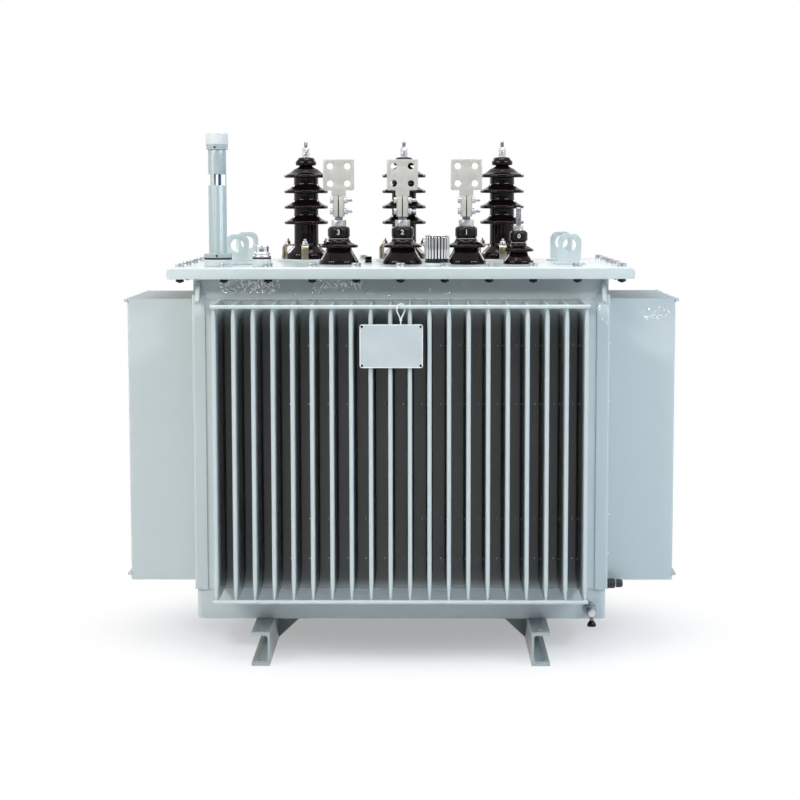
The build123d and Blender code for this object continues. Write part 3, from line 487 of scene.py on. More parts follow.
def fin(root, tip, bottom):
    """One hollow fin that points to the front: flat sides, pinched ends and a folded tip."""
    mesh = bmesh.new()
    right = [
        (FIN_SEAM, bottom),
        (FIN_HALF, bottom + BOTTOM_TAPER),
        (FIN_HALF, wall_top - TOP_TAPER),
        (FIN_SEAM, wall_top),
    ]
    outline = [mesh.verts.new((x, -root, z)) for x, z in right]
    outline += [mesh.verts.new((-x, -root, z)) for x, z in reversed(right)]
    mesh.faces.new(outline)
    bmesh.ops.bevel(
        mesh,
        geom=[outline[1], outline[2], outline[5], outline[6]],
        affect="VERTICES",
        offset=11 * MM,
        segments=4,
        profile=0.5,
        material=-1,
    )
    face = mesh.faces[:][0]
    reach, breadth = 0.0, 1.7
    bmesh.ops.scale(mesh, verts=mesh.verts, vec=(breadth, 1, 1))
    for station, share in FIN_STATIONS:
        depth = station * MM if station > 0 else tip - root + station * MM
        grown = bmesh.ops.extrude_face_region(mesh, geom=[face])["geom"]
        corners = [item for item in grown if isinstance(item, bmesh.types.BMVert)]
        face = [item for item in grown if isinstance(item, bmesh.types.BMFace)][0]
        bmesh.ops.translate(mesh, verts=corners, vec=(0, reach - depth, 0))
        bmesh.ops.scale(mesh, verts=corners, vec=(share / breadth, 1, 1))
        reach, breadth = depth, share
    return mesh


def cooling_wall(side, turn, root, tip, half_width, bottom):
    """A folded wall with its fins, tie bars and welds, turned from the front to its side."""
    bar_low, bar_high = corners_of(f"{side}_tie_bars")
    along = 0 if side in ("front", "rear") else 1
    bar_length = bar_high[along] - bar_low[along]
    count = round((bar_length - 14 * MM) / FIN_PITCH) + 1
    rows = [(index - (count - 1) / 2) * FIN_PITCH for index in range(count)]
    fins = repeated(fin(root, tip, bottom), [(row, 0, 0) for row in rows])
    sheet = block((-half_width, -root, box_high.z), (half_width, 3 * MM - root, wall_top))
    walls = placed(gathered(fins, sheet), turn=turn)
    depth_axis = "Y" if side in ("front", "rear") else "X"
    # Each wall's enamel carries painted shade between its fins.
    enamel = shaded_fin_paint(f"{side}_wall_shaded_enamel", depth_axis, root, tip, rows[-1] - 1 * MM, bottom)
    add_piece(f"{side}_folded_wall", walls, enamel, "tank_paint", f"{side}_wall")

    radius = 4.5
    bar_y = -tip - radius * MM
    heights = (bar_low.z + radius * MM, bar_high.z - radius * MM)
    length = bar_length / MM
    rod = turned([(0, 0, 0), (radius, 0, 1.2), (radius, length, 1.2), (0, length, 0)], 24)
    rod = placed(rod, (-bar_length / 2, 0, 0), 90, "Y")
    rods = repeated(rod, [(0, bar_y, height) for height in heights])
    rods = placed(rods, turn=turn)
    add_piece(f"{side}_round_bars", rods, tank_paint, "tank_paint", f"{side}_tie_bars")

    welds = [(row, bar_y + 3.2 * MM, height) for row in rows for height in heights]
    sizes = [(5.6 + 0.8 * math.sin(index * 2.3), 2.6, 5.0) for index in range(len(welds))]
    lumps = drops(welds, sizes, 2)
    add_piece(f"{side}_fin_welds", placed(lumps, turn=turn), weld_paint, "tank_paint")

    # Spot welds on the fins, in near-white enamel as painted highlights.
    heights = (0.742, 0.602, 0.325, 0.228)
    spots = [(row + 28 * MM, -root, height) for row in rows[:-1] for height in heights]
    spots += [(row - 5 * MM, -root - 12 * MM, height) for row in rows for height in heights]
    sizes = [(2.2, 1.2, 2.2)] * (len(rows) - 1) * 4 + [(1.0, 2.2, 2.2)] * len(rows) * 4
    add_piece(
        f"{side}_spot_welds", placed(drops(spots, sizes, 1), turn=turn), spot_highlight_paint, "tank_paint"
    )


half_length, half_depth = box_high.x, box_high.y
front_tip = -corners_of("front_wall")[0].y
side_tip = corners_of("right_wall")[1].x
side_bottom = corners_of("right_tie_bars")[0].z - 11.5 * MM
side_half = half_depth - 3 * MM
cooling_wall("front", 0, half_depth, front_tip, half_length, box_high.z)
cooling_wall("rear", 180, half_depth, front_tip, half_length, box_high.z)
cooling_wall("right", 90, half_length, side_tip, side_half, side_bottom)
cooling_wall("left", -90, half_length, side_tip, side_half, side_bottom)

# Tank shell and feet
for node, width, finish in (
    ("base_box", 2, tank_paint),
    ("corner_posts", 1.2, tank_paint),
    ("corner_hooks", 1.2, tank_paint),
    ("tank_flange", 1, tank_paint),
    ("right_foot", 1.5, foot_shaded_paint),
    ("left_foot", 1.5, foot_shaded_paint),
    ("foot_gussets", 1, foot_shaded_paint),
):
    softened(node, width, finish=finish)

post_low, post_high = corners_of("corner_posts")
inner_x, inner_y = half_length - 27 * MM, half_depth - 27 * MM
seams = []
for level, radius in ((box_high.z, 1.8), (wall_top + 2 * MM, 2.2)):
    for side in (-1, 1):
        seams.append(
            bead((-inner_x, side * half_depth, level), (inner_x, side * half_depth, level), radius)
        )
        seams.append(
            bead((side * half_length, -inner_y, level), (side * half_length, inner_y, level), radius)
        )
for side_x in (-1, 1):
    for side_y in (-1, 1):
        face_x, face_y = side_x * (half_length + 4 * MM), side_y * (half_depth + 4 * MM)
        edge_x, edge_y = side_x * inner_x, side_y * inner_y
        foot = post_low.z
        crown = post_high.z
        inset = 6 * MM
        corner_x = face_x - side_x * inset
        corner_y = face_y - side_y * inset
        flush_x, flush_y = side_x * half_length, side_y * half_depth
        seams.append(bead((edge_x, face_y - side_y * MM, foot), (corner_x, face_y - side_y * MM, foot), 2.2))
        seams.append(bead((face_x - side_x * MM, edge_y, foot), (face_x - side_x * MM, corner_y, foot), 2.2))
        seams.append(bead((edge_x, flush_y, foot), (edge_x, flush_y, crown), 1.7))
        seams.append(bead((flush_x, edge_y, foot), (flush_x, edge_y, crown), 1.7))
        seams.append(bead((edge_x, flush_y, crown), (flush_x, flush_y, crown), 2))
        seams.append(bead((flush_x, edge_y, crown), (flush_x, flush_y, crown), 2))
neck_low, neck_high = corners_of("tank_neck")
for side in (-1, 1):
    under = neck_high.z
    seams.append(bead((-half_length, side * half_depth, under), (half_length, side * half_depth, under), 2.5))
    seams.append(bead((side * half_length, -half_depth, under), (side * half_length, half_depth, under), 2.5))
add_piece("tank_seam_welds", gathered(*seams), weld_paint, "tank_paint")

foot_seams = []
for foot in ("right_foot", "left_foot"):
    foot_low, foot_high = corners_of(foot)
    for face_x in (foot_low.x, foot_high.x):
        for side in (-1, 1):
            foot_seams.append(
                bead(
                    (face_x, side * 60 * MM, foot_high.z),
                    (face_x, side * (half_depth - 14 * MM), foot_high.z),
                    2.6,
                )
            )
add_piece("foot_welds", gathered(*foot_seams), weld_paint, "tank_paint")

# Weld spatter as small lumps, coloured near-white and metallic: painted glints
chance = random.Random(5)
spatter_lumps = []
for face, first, last, lowest, highest, count in (
    (-half_depth, -430, -286, 866, 900, 120),
    (-half_depth, -380, -296, 868, 898, 110),
    (-half_depth, -207, -93, 872, 901, 110),
    (-half_depth, -330, 150, 858, 886, 26),
    (-half_depth - 4 * MM, 468, 492, 790, 846, 12),
    (-0.2077, 585, 655, 798, 828, 22),
):
    for _ in range(count):
        spot = (chance.uniform(first, last) * MM, face, chance.uniform(lowest, highest) * MM)
        size = (chance.uniform(1.6, 5.5), chance.uniform(1.0, 2.0), chance.uniform(0.9, 1.7))
        lump = drops([(0, 0, 0)], [size], 2)
        spatter_lumps.append(placed(lump, spot, chance.uniform(0, 180), "Y"))
add_piece("weld_spatter", gathered(*spatter_lumps), spatter_glint_paint, "tank_paint")

# Lid with its bolted joint
lid_low, lid_high = corners_of("lid")
lid_top = lid_high.z
for node, width, finish in (
    ("lid", 1.2, lid_paint),
    ("lifting_lugs", 1.2, lug_shaded_paint),
    ("gauge_flange", 1.5, lid_paint),
    ("filler_neck", 1, lid_paint),
    ("relief_base", 1, lid_paint),
    ("hv_pads", 1, lid_paint),
):
    softened(node, width, finish=finish)

BOLT_X, BOLT_Y = 521.5 * MM, 303 * MM
bolt_places = []
for index in range(11):
    for side in (-1, 1):
        bolt_places.append((-BOLT_X + index * BOLT_X / 5, side * BOLT_Y))
for share in (-0.5, 0, 0.5):
    for side in (-1, 1):
        bolt_places.append((side * BOLT_X, share * BOLT_Y))
head = gathered(washer(11, 1.5), placed(hexagon(19, 8), (0, 0, 1.5 * MM)))
heads = repeated(head, [(x, y, lid_top) for x, y in bolt_places])
add_piece("lid_bolt_heads", heads, zinc, "plated_steel")
nut = gathered(
    placed(washer(9.5, 1.5), (0, 0, -1.5 * MM)),
    placed(hexagon(17, 7.5), (0, 0, -9 * MM)),
    placed(threaded(5, 8, 1.5), (0, 0, -11 * MM)),
)
flange_under = corners_of("tank_flange")[0].z
nuts = repeated(nut, [(x, y, flange_under) for x, y in bolt_places])
add_piece("lid_bolt_nuts", nuts, dark_steel, "plated_steel")

lug_welds = []
for name, mount in mounts.items():
    if not name.startswith("lug_"):
        continue
    lug_x, lug_y, _ = mount["pos_m"]
    for face_y in (lug_y - 6 * MM, lug_y + 6 * MM):
        start = (lug_x - 27 * MM, face_y, lid_top + 4 * MM)
        end = (lug_x + 27 * MM, face_y, lid_top + 4 * MM)
        lug_welds.append(bead(start, end, 2.4))
add_piece("lug_welds", gathered(*lug_welds), weld_paint, "lid_paint")

# High voltage bushings
hv_base = corners_of("hv_porcelain")[0].z
hv_places = [mounts[f"hv_stud_{word}"]["pos_m"] for word in ("left", "middle", "right")]
hv_feet = [(x, y, hv_base) for x, y, _ in hv_places]
hv_top = corners_of("hv_porcelain")[1].z
hv_height = (hv_top - hv_base) / MM
hv_corners = [(0, 0, 0), (52, 0, 2), (52, 14, 6), (31, 35, 6)]
for shed in range(4):
    level = 97 + 39.2 * shed
    hv_corners += [
        (31, level - 8, 3),
        (55.6, level - 8.6, 3),
        (56, level - 0.5, 3.6),
        (43, level + 2, 9),
        (31, level + 13, 5),
    ]
hv_corners += [
    (31, hv_height - 30, 3),
    (17, hv_height - 23.5, 4),
    (16.5, hv_height - 21, 1),
    (26, hv_height - 20.5, 3),
    (27, hv_height - 10, 6),
    (19, hv_height, 4),
    (0, hv_height, 0),
]
hv_body = repeated(turned(hv_corners, 72), hv_feet)
add_piece("hv_glazed_bodies", hv_body, porcelain_glaze, "porcelain", "hv_porcelain", crease=45)

nut_set = gathered(
    turned([(0, 0, 0), (10, 0, 0.4), (10, 2.5, 0.8), (0, 2.5, 0)], 32),
    placed(hexagon(17, 10), (0, 0, 2.5 * MM)),
    placed(washer(8.4, 1.8), (0, 0, 12.7 * MM)),
    placed(hexagon(17, 10), (0, 0, 14.6 * MM), 17),
)
hv_crowns = [(x, y, hv_top) for x, y, _ in hv_places]
add_piece("hv_nut_sets", repeated(nut_set, hv_crowns), zinc, "plated_steel", "hv_nuts")
hv_stud = threaded(5, 40, 1.5)
add_piece("hv_threads", repeated(hv_stud, hv_crowns), steel_stud, "plated_steel", "hv_studs")

CLAMP_OUTER, CLAMP_TIP, CLAMP_TOP, CLAMP_SHEET, CLAMP_WIDTH = 69.5, 33.6, 38, 5, 18
BOLT_CIRCLE = 57


def bent_clamp():
    """A strip bent into an arch, with its leg outwards along X."""
    mesh = bmesh.new()
    inner, under = CLAMP_OUTER - CLAMP_SHEET, CLAMP_TOP - CLAMP_SHEET
    outline = [
        (CLAMP_OUTER, 0),
        (CLAMP_OUTER, CLAMP_TOP),
        (CLAMP_TIP, CLAMP_TOP),
        (CLAMP_TIP, under),
        (inner, under),
        (inner, 0),
    ]
    side = -CLAMP_WIDTH / 2 * MM
    corners = [mesh.verts.new((x * MM, side, z * MM)) for x, z in outline]
    mesh.faces.new(corners)
    for corner, rounding in ((corners[1], 13), (corners[4], 8)):
        bmesh.ops.bevel(
            mesh,
            geom=[corner],
            affect="VERTICES",
            offset=rounding * MM,
            segments=7,
            profile=0.5,
            material=-1,
        )
    grown = bmesh.ops.extrude_face_region(mesh, geom=mesh.faces[:])["geom"]
    far = [item for item in grown if isinstance(item, bmesh.types.BMVert)]
    bmesh.ops.translate(mesh, verts=far, vec=(0, CLAMP_WIDTH * MM, 0))
    bmesh.ops.recalc_face_normals(mesh, faces=mesh.faces)
    return eased(mesh, 1.3, 3, 40)


def clamp_fixings():
    """The clamp's washer, nut and stud end."""
    fixings = gathered(
        washer(8, 1.5),
        placed(hexagon(13, 6.5), (0, 0, 1.5 * MM)),
        placed(threaded(3.9, 14, 1.25), (0, 0, 0)),
    )
    return placed(fixings, (BOLT_CIRCLE * MM, 0, CLAMP_TOP * MM))


CLAMP_TURNS = (-90, 30, 150)
strips = gathered(*[placed(bent_clamp(), turn=turn) for turn in CLAMP_TURNS])
add_piece("hv_clamp_strips", repeated(strips, hv_feet), brass, "clamp_brass", "hv_clamps")
fixings = gathered(*[placed(clamp_fixings(), turn=turn) for turn in CLAMP_TURNS])
add_piece("hv_clamp_fixings", repeated(fixings, hv_feet), zinc, "plated_steel")

# Low voltage bushings and the neutral one
lv_places = [mounts[f"lv_palm_{word}"]["pos_m"] for word in ("left", "middle", "right")]
neutral = mounts["neutral_stud"]["pos_m"]
lv_feet = [(x, y, lid_top) for x, y, _ in lv_places]
neutral_foot = (neutral[0], neutral[1], lid_top)
lv_body = turned(
    [
        (0, 0, 0),
        (48.5, 0, 2),
        (48.5, 7, 4),
        (31, 36, 5),
        (31, 41, 2.5),
        (46.5, 40.5, 2.5),
        (47.5, 47, 3),
        (37, 50, 7),
        (27, 56, 4),
        (27, 60, 0.6),
        (25, 60, 0),
        (25, 65, 0),
        (0, 65, 0),
    ],
    72,
)
neutral_body = turned(
    [
        (0, 0, 0),
        (37.5, 0, 2),
        (37.5, 7, 3),
        (22, 27, 3),
        (22, 31, 2),
        (36.5, 30.5, 2.5),
        (37.5, 37, 3),
        (29, 40, 6),
        (20, 46, 3),
        (20, 50, 0.6),
        (18, 50, 0),
        (18, 55, 0),
        (0, 55, 0),
    ],
    64,
)
lv_bodies = gathered(repeated(lv_body, lv_feet), placed(neutral_body, neutral_foot))
add_piece("lv_glazed_bodies", lv_bodies, porcelain_glaze, "porcelain", "lv_porcelain", crease=45)

lv_ring = turned([(0, 61, 0), (25.7, 61, 0.5), (25.7, 63.6, 0.5), (0, 63.6, 0)], 64, 2)
neutral_ring = turned([(0, 51, 0), (18.7, 51, 0.5), (18.7, 53.4, 0.5), (0, 53.4, 0)], 48, 2)
rings = gathered(repeated(lv_ring, lv_feet), placed(neutral_ring, neutral_foot))
add_piece("lv_sealing_rings", rings, ring_grey, "gasket_rubber")


def moulded_cap(radius, bottom, height):
    return turned(
        [
            (0, bottom, 0),
            (radius - 3, bottom, 0.8),
            (radius, bottom + 3, 1.2),
            (radius, bottom + height - 4, 3.5),
            (radius - 5, bottom + height, 2.5),
            (0, bottom + height, 0),
        ],
        64,
    )


caps = gathered(
    repeated(moulded_cap(27, 65, 27), lv_feet), placed(moulded_cap(22, 55, 27), neutral_foot)
)
add_piece("lv_moulded_caps", caps, cap_plastic, "cap_black", "lv_caps")

lv_crown, neutral_crown = 92, 82
lv_nut = placed(hexagon(32, 16), (0, 0, lv_crown * MM))
neutral_nut = gathered(
    placed(washer(12.5, 2), (0, 0, neutral_crown * MM)),
    placed(hexagon(21, 9), (0, 0, (neutral_crown + 2) * MM)),
)
lv_nut_shapes = gathered(repeated(lv_nut, lv_feet), placed(neutral_nut, neutral_foot))
add_piece("lv_hexagon_nuts", lv_nut_shapes, zinc, "plated_steel", "lv_nuts")
palm_low, _ = corners_of("lv_palms")
lv_stud_length = (palm_low.z - lid_top) / MM - lv_crown + 48
lv_stud = placed(threaded(10.5, lv_stud_length, 2.5, 32), (0, 0, lv_crown * MM))
neutral_stud = placed(threaded(7, 56, 2, 28), (0, 0, neutral_crown * MM))
studs = gathered(repeated(lv_stud, lv_feet), placed(neutral_stud, neutral_foot))
add_piece("lv_threads", studs, steel_stud, "stud_steel", "lv_studs")

softened("lv_palms", 0.9)


def cross_bolt():
    """A bolt along X through the split clamp: head on the left, nut and thread on the right."""
    half = 14
    bolt = gathered(
        placed(hexagon(13, 5.5), (0, 0, -(half + 7) * MM)),
        placed(washer(8, 1.5), (0, 0, -(half + 1.5) * MM)),
        placed(washer(8, 1.5), (0, 0, half * MM)),
        placed(hexagon(13, 6.5), (0, 0, (half + 1.5) * MM)),
        placed(threaded(4, 20, 1.25), (0, 0, half * MM)),
    )
    return placed(bolt, turn=90, axis="Y")


clamp_foot = palm_low.z
cross_heights = (clamp_foot + 13 * MM, clamp_foot + 40 * MM)
cross_places = [(x, y - 8 * MM, height) for x, y, _ in lv_places for height in cross_heights]
add_piece("palm_cross_bolts", repeated(cross_bolt(), cross_places), zinc, "plated_steel")


def wrapped_number(text, foot, radius, height, size):
    """A plain number that lies on the front of a round cap."""
    curve = bpy.data.curves.new("number", "FONT")
    curve.body = text
    curve.size = size * MM
    curve.align_x = "CENTER"
    curve.align_y = "CENTER"
    curve.extrude = 0.15 * MM
    curve.offset = 0.25 * MM
    holder = bpy.data.objects.new("number", curve)
    data = bpy.data.meshes.new_from_object(holder)
    mesh = bmesh.new()
    mesh.from_mesh(data)
    bmesh.ops.remove_doubles(mesh, verts=mesh.verts, dist=0.01 * MM)
    for vert in mesh.verts:
        angle = vert.co.x / (radius * MM)
        reach = (radius + 0.1) * MM + vert.co.z
        vert.co = (
            foot[0] + reach * math.sin(angle),
            foot[1] - reach * math.cos(angle),
            foot[2] + height * MM + vert.co.y,
        )
    bpy.data.objects.remove(holder)
    return mesh


numbers = [wrapped_number(text, foot, 27, 78, 17) for text, foot in zip("321", lv_feet)]
numbers.append(wrapped_number("0", neutral_foot, 22, 68, 15))
add_piece("cap_numbers", gathered(*numbers), number_white, "cap_black")

# Oil level gauge, filler, relief valve and plug on the lid
softened("gauge_tube", 0.6)
gauge_low, gauge_high = corners_of("gauge_flange")
gauge_x, gauge_y = (gauge_low.x + gauge_high.x) / 2, (gauge_low.y + gauge_high.y) / 2
tube_low, tube_high = corners_of("gauge_tube")


gauge_ring = turned(
    [(0, 0, 0), (26, 0, 0.8), (26, 4.6, 0.6), (25.2, 5, 0), (25.2, 5.8, 0), (26, 6.2, 0.6), (26, 11, 0.5), (0, 11, 0)],
    64,
    2,
)
gauge_ring = placed(gauge_ring, (gauge_x, gauge_y, tube_high.z))
add_piece("gauge_top_ring", gauge_ring, gauge_paint, "gauge_grey", "gauge_cap")
gauge_cap = turned([(0, 11.4, 0), (26.6, 11.4, 0.8), (27, 14, 0.5), (26.6, 40, 3.5), (20, 42, 2), (0, 42, 0)], 64)
gauge_cap = placed(gauge_cap, (gauge_x, gauge_y, tube_high.z))
add_piece("gauge_white_cap", gauge_cap, white_cap, "cap_white")


def side_screw(size):
    screw = [(0, -1, 0), (size, -1, 0.3), (size, 0.8, 0.6), (0, 1.3, 0)]
    return placed(turned(screw, 20, 2), turn=90, axis="X")


screws = gathered(
    placed(side_screw(2.7), (gauge_x, gauge_y - 33 * MM, tube_low.z + 5 * MM)),
    placed(side_screw(2.4), (gauge_x - 3 * MM, gauge_y - 26 * MM, tube_high.z + 5.5 * MM)),
)
add_piece("gauge_screws", screws, dark_steel, "stud_steel")

filler_low, filler_high = corners_of("filler_cap")
filler_x, filler_y = (filler_low.x + filler_high.x) / 2, (filler_low.y + filler_high.y) / 2
filler_cap = turned(
    [
        (0, 0, 0),
        (22, 0, 0.8),
        (22, 4, 1),
        (18.5, 5, 1),
        (20.3, 8, 2),
        (19.8, 10.5, 1.5),
        (16.4, 12.5, 1),
        (17.2, 25.5, 1),
        (16.6, 28, 1),
        (12.5, 27, 1.5),
        (0, 27, 0),
    ],
    64,
)
filler_cap = placed(filler_cap, (filler_x, filler_y, filler_low.z))
add_piece("filler_turned_cap", filler_cap, bright, "bright_metal", "filler_cap")

relief_low, relief_high = corners_of("relief_valve")
relief_x, relief_y = (relief_low.x + relief_high.x) / 2, (relief_low.y + relief_high.y) / 2
relief_core = turned(
    [
        (0, 0, 0),
        (30, 0, 1),
        (30, 3.5, 1.5),
        (28, 4.5, 1),
        (29.5, 8, 1),
        (26, 9, 1),
        (26, 63, 1),
        (28.6, 63, 1),
        (28.6, 65.5, 1.2),
        (24, 66, 1),
        (0, 64, 0),
    ],
    72,
)
relief_core = placed(relief_core, (relief_x, relief_y, relief_low.z))
add_piece("relief_housing", relief_core, dark_bright, "bright_metal", "relief_valve")
relief_crown = turned([(0, 63, 0), (28.8, 63, 1), (28.8, 66, 1.2), (24, 66.8, 1), (0, 65.5, 0)], 72)
relief_crown = placed(relief_crown, (relief_x, relief_y, relief_low.z))
add_piece("relief_crown", relief_crown, bright, "bright_metal")
flute = turned([(0, 9, 0), (2.7, 9, 2), (2.7, 62.5, 2), (0, 62.5, 0)], 14)
flute_places = [
    (26.4 * MM * math.cos(turn * FULL_TURN / 22), 26.4 * MM * math.sin(turn * FULL_TURN / 22), 0)
    for turn in range(22)
]
flutes = placed(repeated(flute, flute_places), (relief_x, relief_y, relief_low.z))
add_piece("relief_flutes", flutes, bright, "bright_metal")

plug_low, plug_high = corners_of("lid_plug")
plug_height = (plug_high.z - plug_low.z) / MM
plug = gathered(
    turned([(0, 0, 0), (9, 0, 0.5), (9, 4, 1), (7.8, 5, 0.5), (7.8, 7, 0.5), (0, 7, 0)], 36),
    placed(hexagon(15.4, plug_height - 6), (0, 0, 6 * MM), 12),
)
plug = placed(plug, ((plug_low.x + plug_high.x) / 2, (plug_low.y + plug_high.y) / 2, plug_low.z))
add_piece("plug_head", plug, cap_plastic, "cap_black", "lid_plug")

# Drain valve and side stub low on the tank
valve_low, valve_high = corners_of("drain_valve")
valve_x = (valve_low.x + valve_high.x) / 2 - 1 * MM
valve_z = valve_high.z - 17 * MM
valve_body = turned(
    [
        (0, 0, 0),
        (15, 0, 0.5),
        (15, 7, 1.5),
        (10.5, 8, 1),
        (10.5, 30, 1),
        (13, 32, 1),
        (13, 44, 1.5),
        (10, 46, 1),
        (10, 56, 1),
        (11.2, 58, 1),
        (11.2, 64, 1),
        (8, 65, 0.5),
        (8, 68, 0),
        (0, 68, 0),
    ],
    48,
)
valve_body = placed(valve_body, (valve_x, -half_depth, valve_z), 90, "X")
knob_low, knob_high = corners_of("valve_knob")
stem_x, stem_y = (knob_low.x + knob_high.x) / 2, (knob_low.y + knob_high.y) / 2
stem_length = (valve_z - knob_high.z) / MM
stem = turned(
    [(0, 0, 0), (5.4, 0, 0.6), (5.4, 3, 0.6), (4, 4, 0.5), (4, stem_length, 0), (0, stem_length, 0)],
    28,
)
stem = placed(stem, (stem_x, stem_y, knob_high.z))
add_piece("drain_valve_body", gathered(valve_body, stem), dull_steel, "plated_steel", "drain_valve")
valve_face = turned([(0, 0, 0), (9, 0, 0.6), (9, 3.5, 1.6), (0, 4, 0)], 40)
valve_face = placed(valve_face, (valve_x, -half_depth - 67 * MM, valve_z), 90, "X")
add_piece("valve_front_plug", valve_face, zinc, "plated_steel")
knob = turned([(0, 0, 0), (11, 0, 1), (11, 4, 3), (8, 10.5, 4), (3.5, 14, 1.5), (0, 14, 0)], 40)
knob = placed(knob, (stem_x, stem_y, knob_low.z))
add_piece("valve_domed_knob", knob, cap_plastic, "knob_black", "valve_knob")
softened("side_stub", 1)
stub_low, stub_high = corners_of("side_stub")
ring = turned([(0, 0, 0), (10.4, 0, 0.5), (10.4, 1.6, 0.5), (0, 1.6, 0)], 36, 2)
ring = placed(ring, (stub_high.x - 9.6 * MM, (stub_low.y + stub_high.y) / 2, (stub_low.z + stub_high.z) / 2), 90, "Y")
add_piece("stub_ring", ring, zinc, "stub_grey")
stub_end = turned(
    [(0, 0, 0), (9.8, 0, 0.6), (9.8, 11, 3), (7.5, 14.5, 1), (5, 14.5, 0.5), (4.5, 12, 0.5), (0, 12, 0)], 40
)
stub_place = (stub_high.x - 6 * MM, (stub_low.y + stub_high.y) / 2, (stub_low.z + stub_high.z) / 2)
add_piece("stub_end_plug", placed(stub_end, stub_place, 90, "Y"), dark_plastic, "stub_grey")

# Bare plate on its tie, with a raised border and four rivets
plate_low, plate_high = corners_of("name_plate")
plate = bmesh.new()
plate_corners = [
    plate.verts.new((x, plate_high.y, z))
    for x, z in (
        (plate_low.x, plate_low.z),
        (plate_high.x, plate_low.z),
        (plate_high.x, plate_high.z),
        (plate_low.x, plate_high.z),
    )
]
plate.faces.new(plate_corners)
bmesh.ops.bevel(
    plate,
    geom=plate_corners,
    affect="VERTICES",
    offset=6 * MM,
    segments=6,
    profile=0.5,
    material=-1,
)
grown = bmesh.ops.extrude_face_region(plate, geom=plate.faces[:])["geom"]
plate_front = [item for item in grown if isinstance(item, bmesh.types.BMFace)]
far = [item for item in grown if isinstance(item, bmesh.types.BMVert)]
bmesh.ops.translate(plate, verts=far, vec=(0, plate_low.y - plate_high.y, 0))
bmesh.ops.inset_region(plate, faces=plate_front, thickness=2.4 * MM, depth=0)
bmesh.ops.translate(
    plate, verts=[vert for face in plate_front for vert in face.verts], vec=(0, 0.45 * MM, 0)
)
# The inner face keeps the plate's metal; the border, edges and back take the lighter colour, a painted highlight.
for face in plate.faces:
    face.material_index = 0 if face in plate_front else 1
plate_piece = add_piece("bare_plate", plate, plate_metal, "plate_grey", "name_plate")
plate_piece.data.materials.append(plate_rim_highlight)
rivet = turned([(0, -0.5, 0), (2.9, -0.5, 0), (2.9, 0.5, 0.5), (0, 1.2, 0)], 20, 2)
rivet = placed(rivet, turn=90, axis="X")
rivet_places = [
    (x, plate_low.y + 0.3 * MM, z)
    for x in (plate_low.x + 5.2 * MM, plate_high.x - 5.2 * MM)
    for z in (plate_low.z + 5.2 * MM, plate_high.z - 5.2 * MM)
]
add_piece("plate_rivets", repeated(rivet, rivet_places), cap_plastic, "cap_black")


# Camera, at the photograph's height and angle
VIEW_PIXELS = 800
FOCAL_PIXELS = 1964.83
camera_data = bpy.data.cameras.new("camera")
camera_data.sensor_width = 36
camera_data.lens = camera_data.sensor_width * FOCAL_PIXELS / VIEW_PIXELS
camera_data.clip_end = 100
camera = bpy.data.objects.new("camera", camera_data)
scene.collection.objects.link(camera)
scene.camera = camera
CAMERA_PLACE = (0.04807, -4.94236, 1.10259)
CAMERA_YAW, CAMERA_PITCH, CAMERA_ROLL = 0.010761, -0.104815, -0.001686
camera.matrix_world = (
    Matrix.Translation(CAMERA_PLACE)
    @ Matrix.Rotation(CAMERA_YAW, 4, "Z")
    @ Matrix.Rotation(math.pi / 2 + CAMERA_PITCH, 4, "X")
    @ Matrix.Rotation(CAMERA_ROLL, 4, "Z")
)


# Light
def lamp(name, place, target, size, power, colour=(1, 1, 1)):
    """A large soft square lamp that faces its target."""
    data = bpy.data.lights.new(name, "AREA")
    data.shape = "SQUARE"
    data.size = size
    data.energy = power
    data.color = colour
    piece = bpy.data.objects.new(name, data)
    piece.location = place
    piece.rotation_euler = (Vector(target) - Vector(place)).to_track_quat("-Z", "Y").to_euler()
    scene.collection.objects.link(piece)


TANK_MIDDLE = (0, 0, 0.6)
WARM, COOL = (1.0, 0.955, 0.87), (0.81, 0.915, 1.0)
lamp("left_front_lamp", (-1.9, -3.1, 2.7), TANK_MIDDLE, 0.5, 27.3, WARM)
lamp("left_middle_lamp", (-2.5, -2.5, 2.8), TANK_MIDDLE, 0.5, 27.3, WARM)
lamp("left_side_lamp", (-3.0, -1.7, 2.6), TANK_MIDDLE, 0.5, 27.3, WARM)
lamp("right_front_lamp", (2.0, -3.1, 2.7), TANK_MIDDLE, 0.5, 25.3, COOL)
lamp("right_middle_lamp", (2.6, -2.5, 2.8), TANK_MIDDLE, 0.5, 25.3, COOL)
lamp("right_side_lamp", (3.1, -1.7, 2.6), TANK_MIDDLE, 0.5, 25.3, COOL)
lamp("top_lamp", (0, -0.3, 4.2), TANK_MIDDLE, 2.2, 70)
lamp("left_back_lamp", (-3.0, 4.2, 3.0), TANK_MIDDLE, 1.4, 56)
lamp("right_back_lamp", (3.0, 4.2, 3.0), TANK_MIDDLE, 1.4, 56)


def joined(tree, operation, first, second):
    """Two shader values put together by one sum."""
    node = tree.nodes.new("ShaderNodeMath")
    node.operation = operation
    for socket, value in zip(node.inputs, (first, second)):
        if isinstance(value, float):
            socket.default_value = value
        else:
            tree.links.new(value, socket)
    return node.outputs["Value"]


def eased_step(tree, value, start, end, low=0.0, high=1.0):
    """A smooth step of a shader value, from low at the start to high at the end."""
    step = tree.nodes.new("ShaderNodeMapRange")
    step.interpolation_type = "SMOOTHSTEP"
    for name, level in (("From Min", start), ("From Max", end), ("To Min", low), ("To Max", high)):
        step.inputs[name].default_value = level
    tree.links.new(value, step.inputs["Value"])
    return step.outputs["Result"]


def split_place(tree):
    """Object coordinates, one by one. In the world they are the direction looked in."""
    place = tree.nodes.new("ShaderNodeTexCoord")
    parts = tree.nodes.new("ShaderNodeSeparateXYZ")
    tree.links.new(place.outputs["Object"], parts.inputs["Vector"])
    return parts.outputs


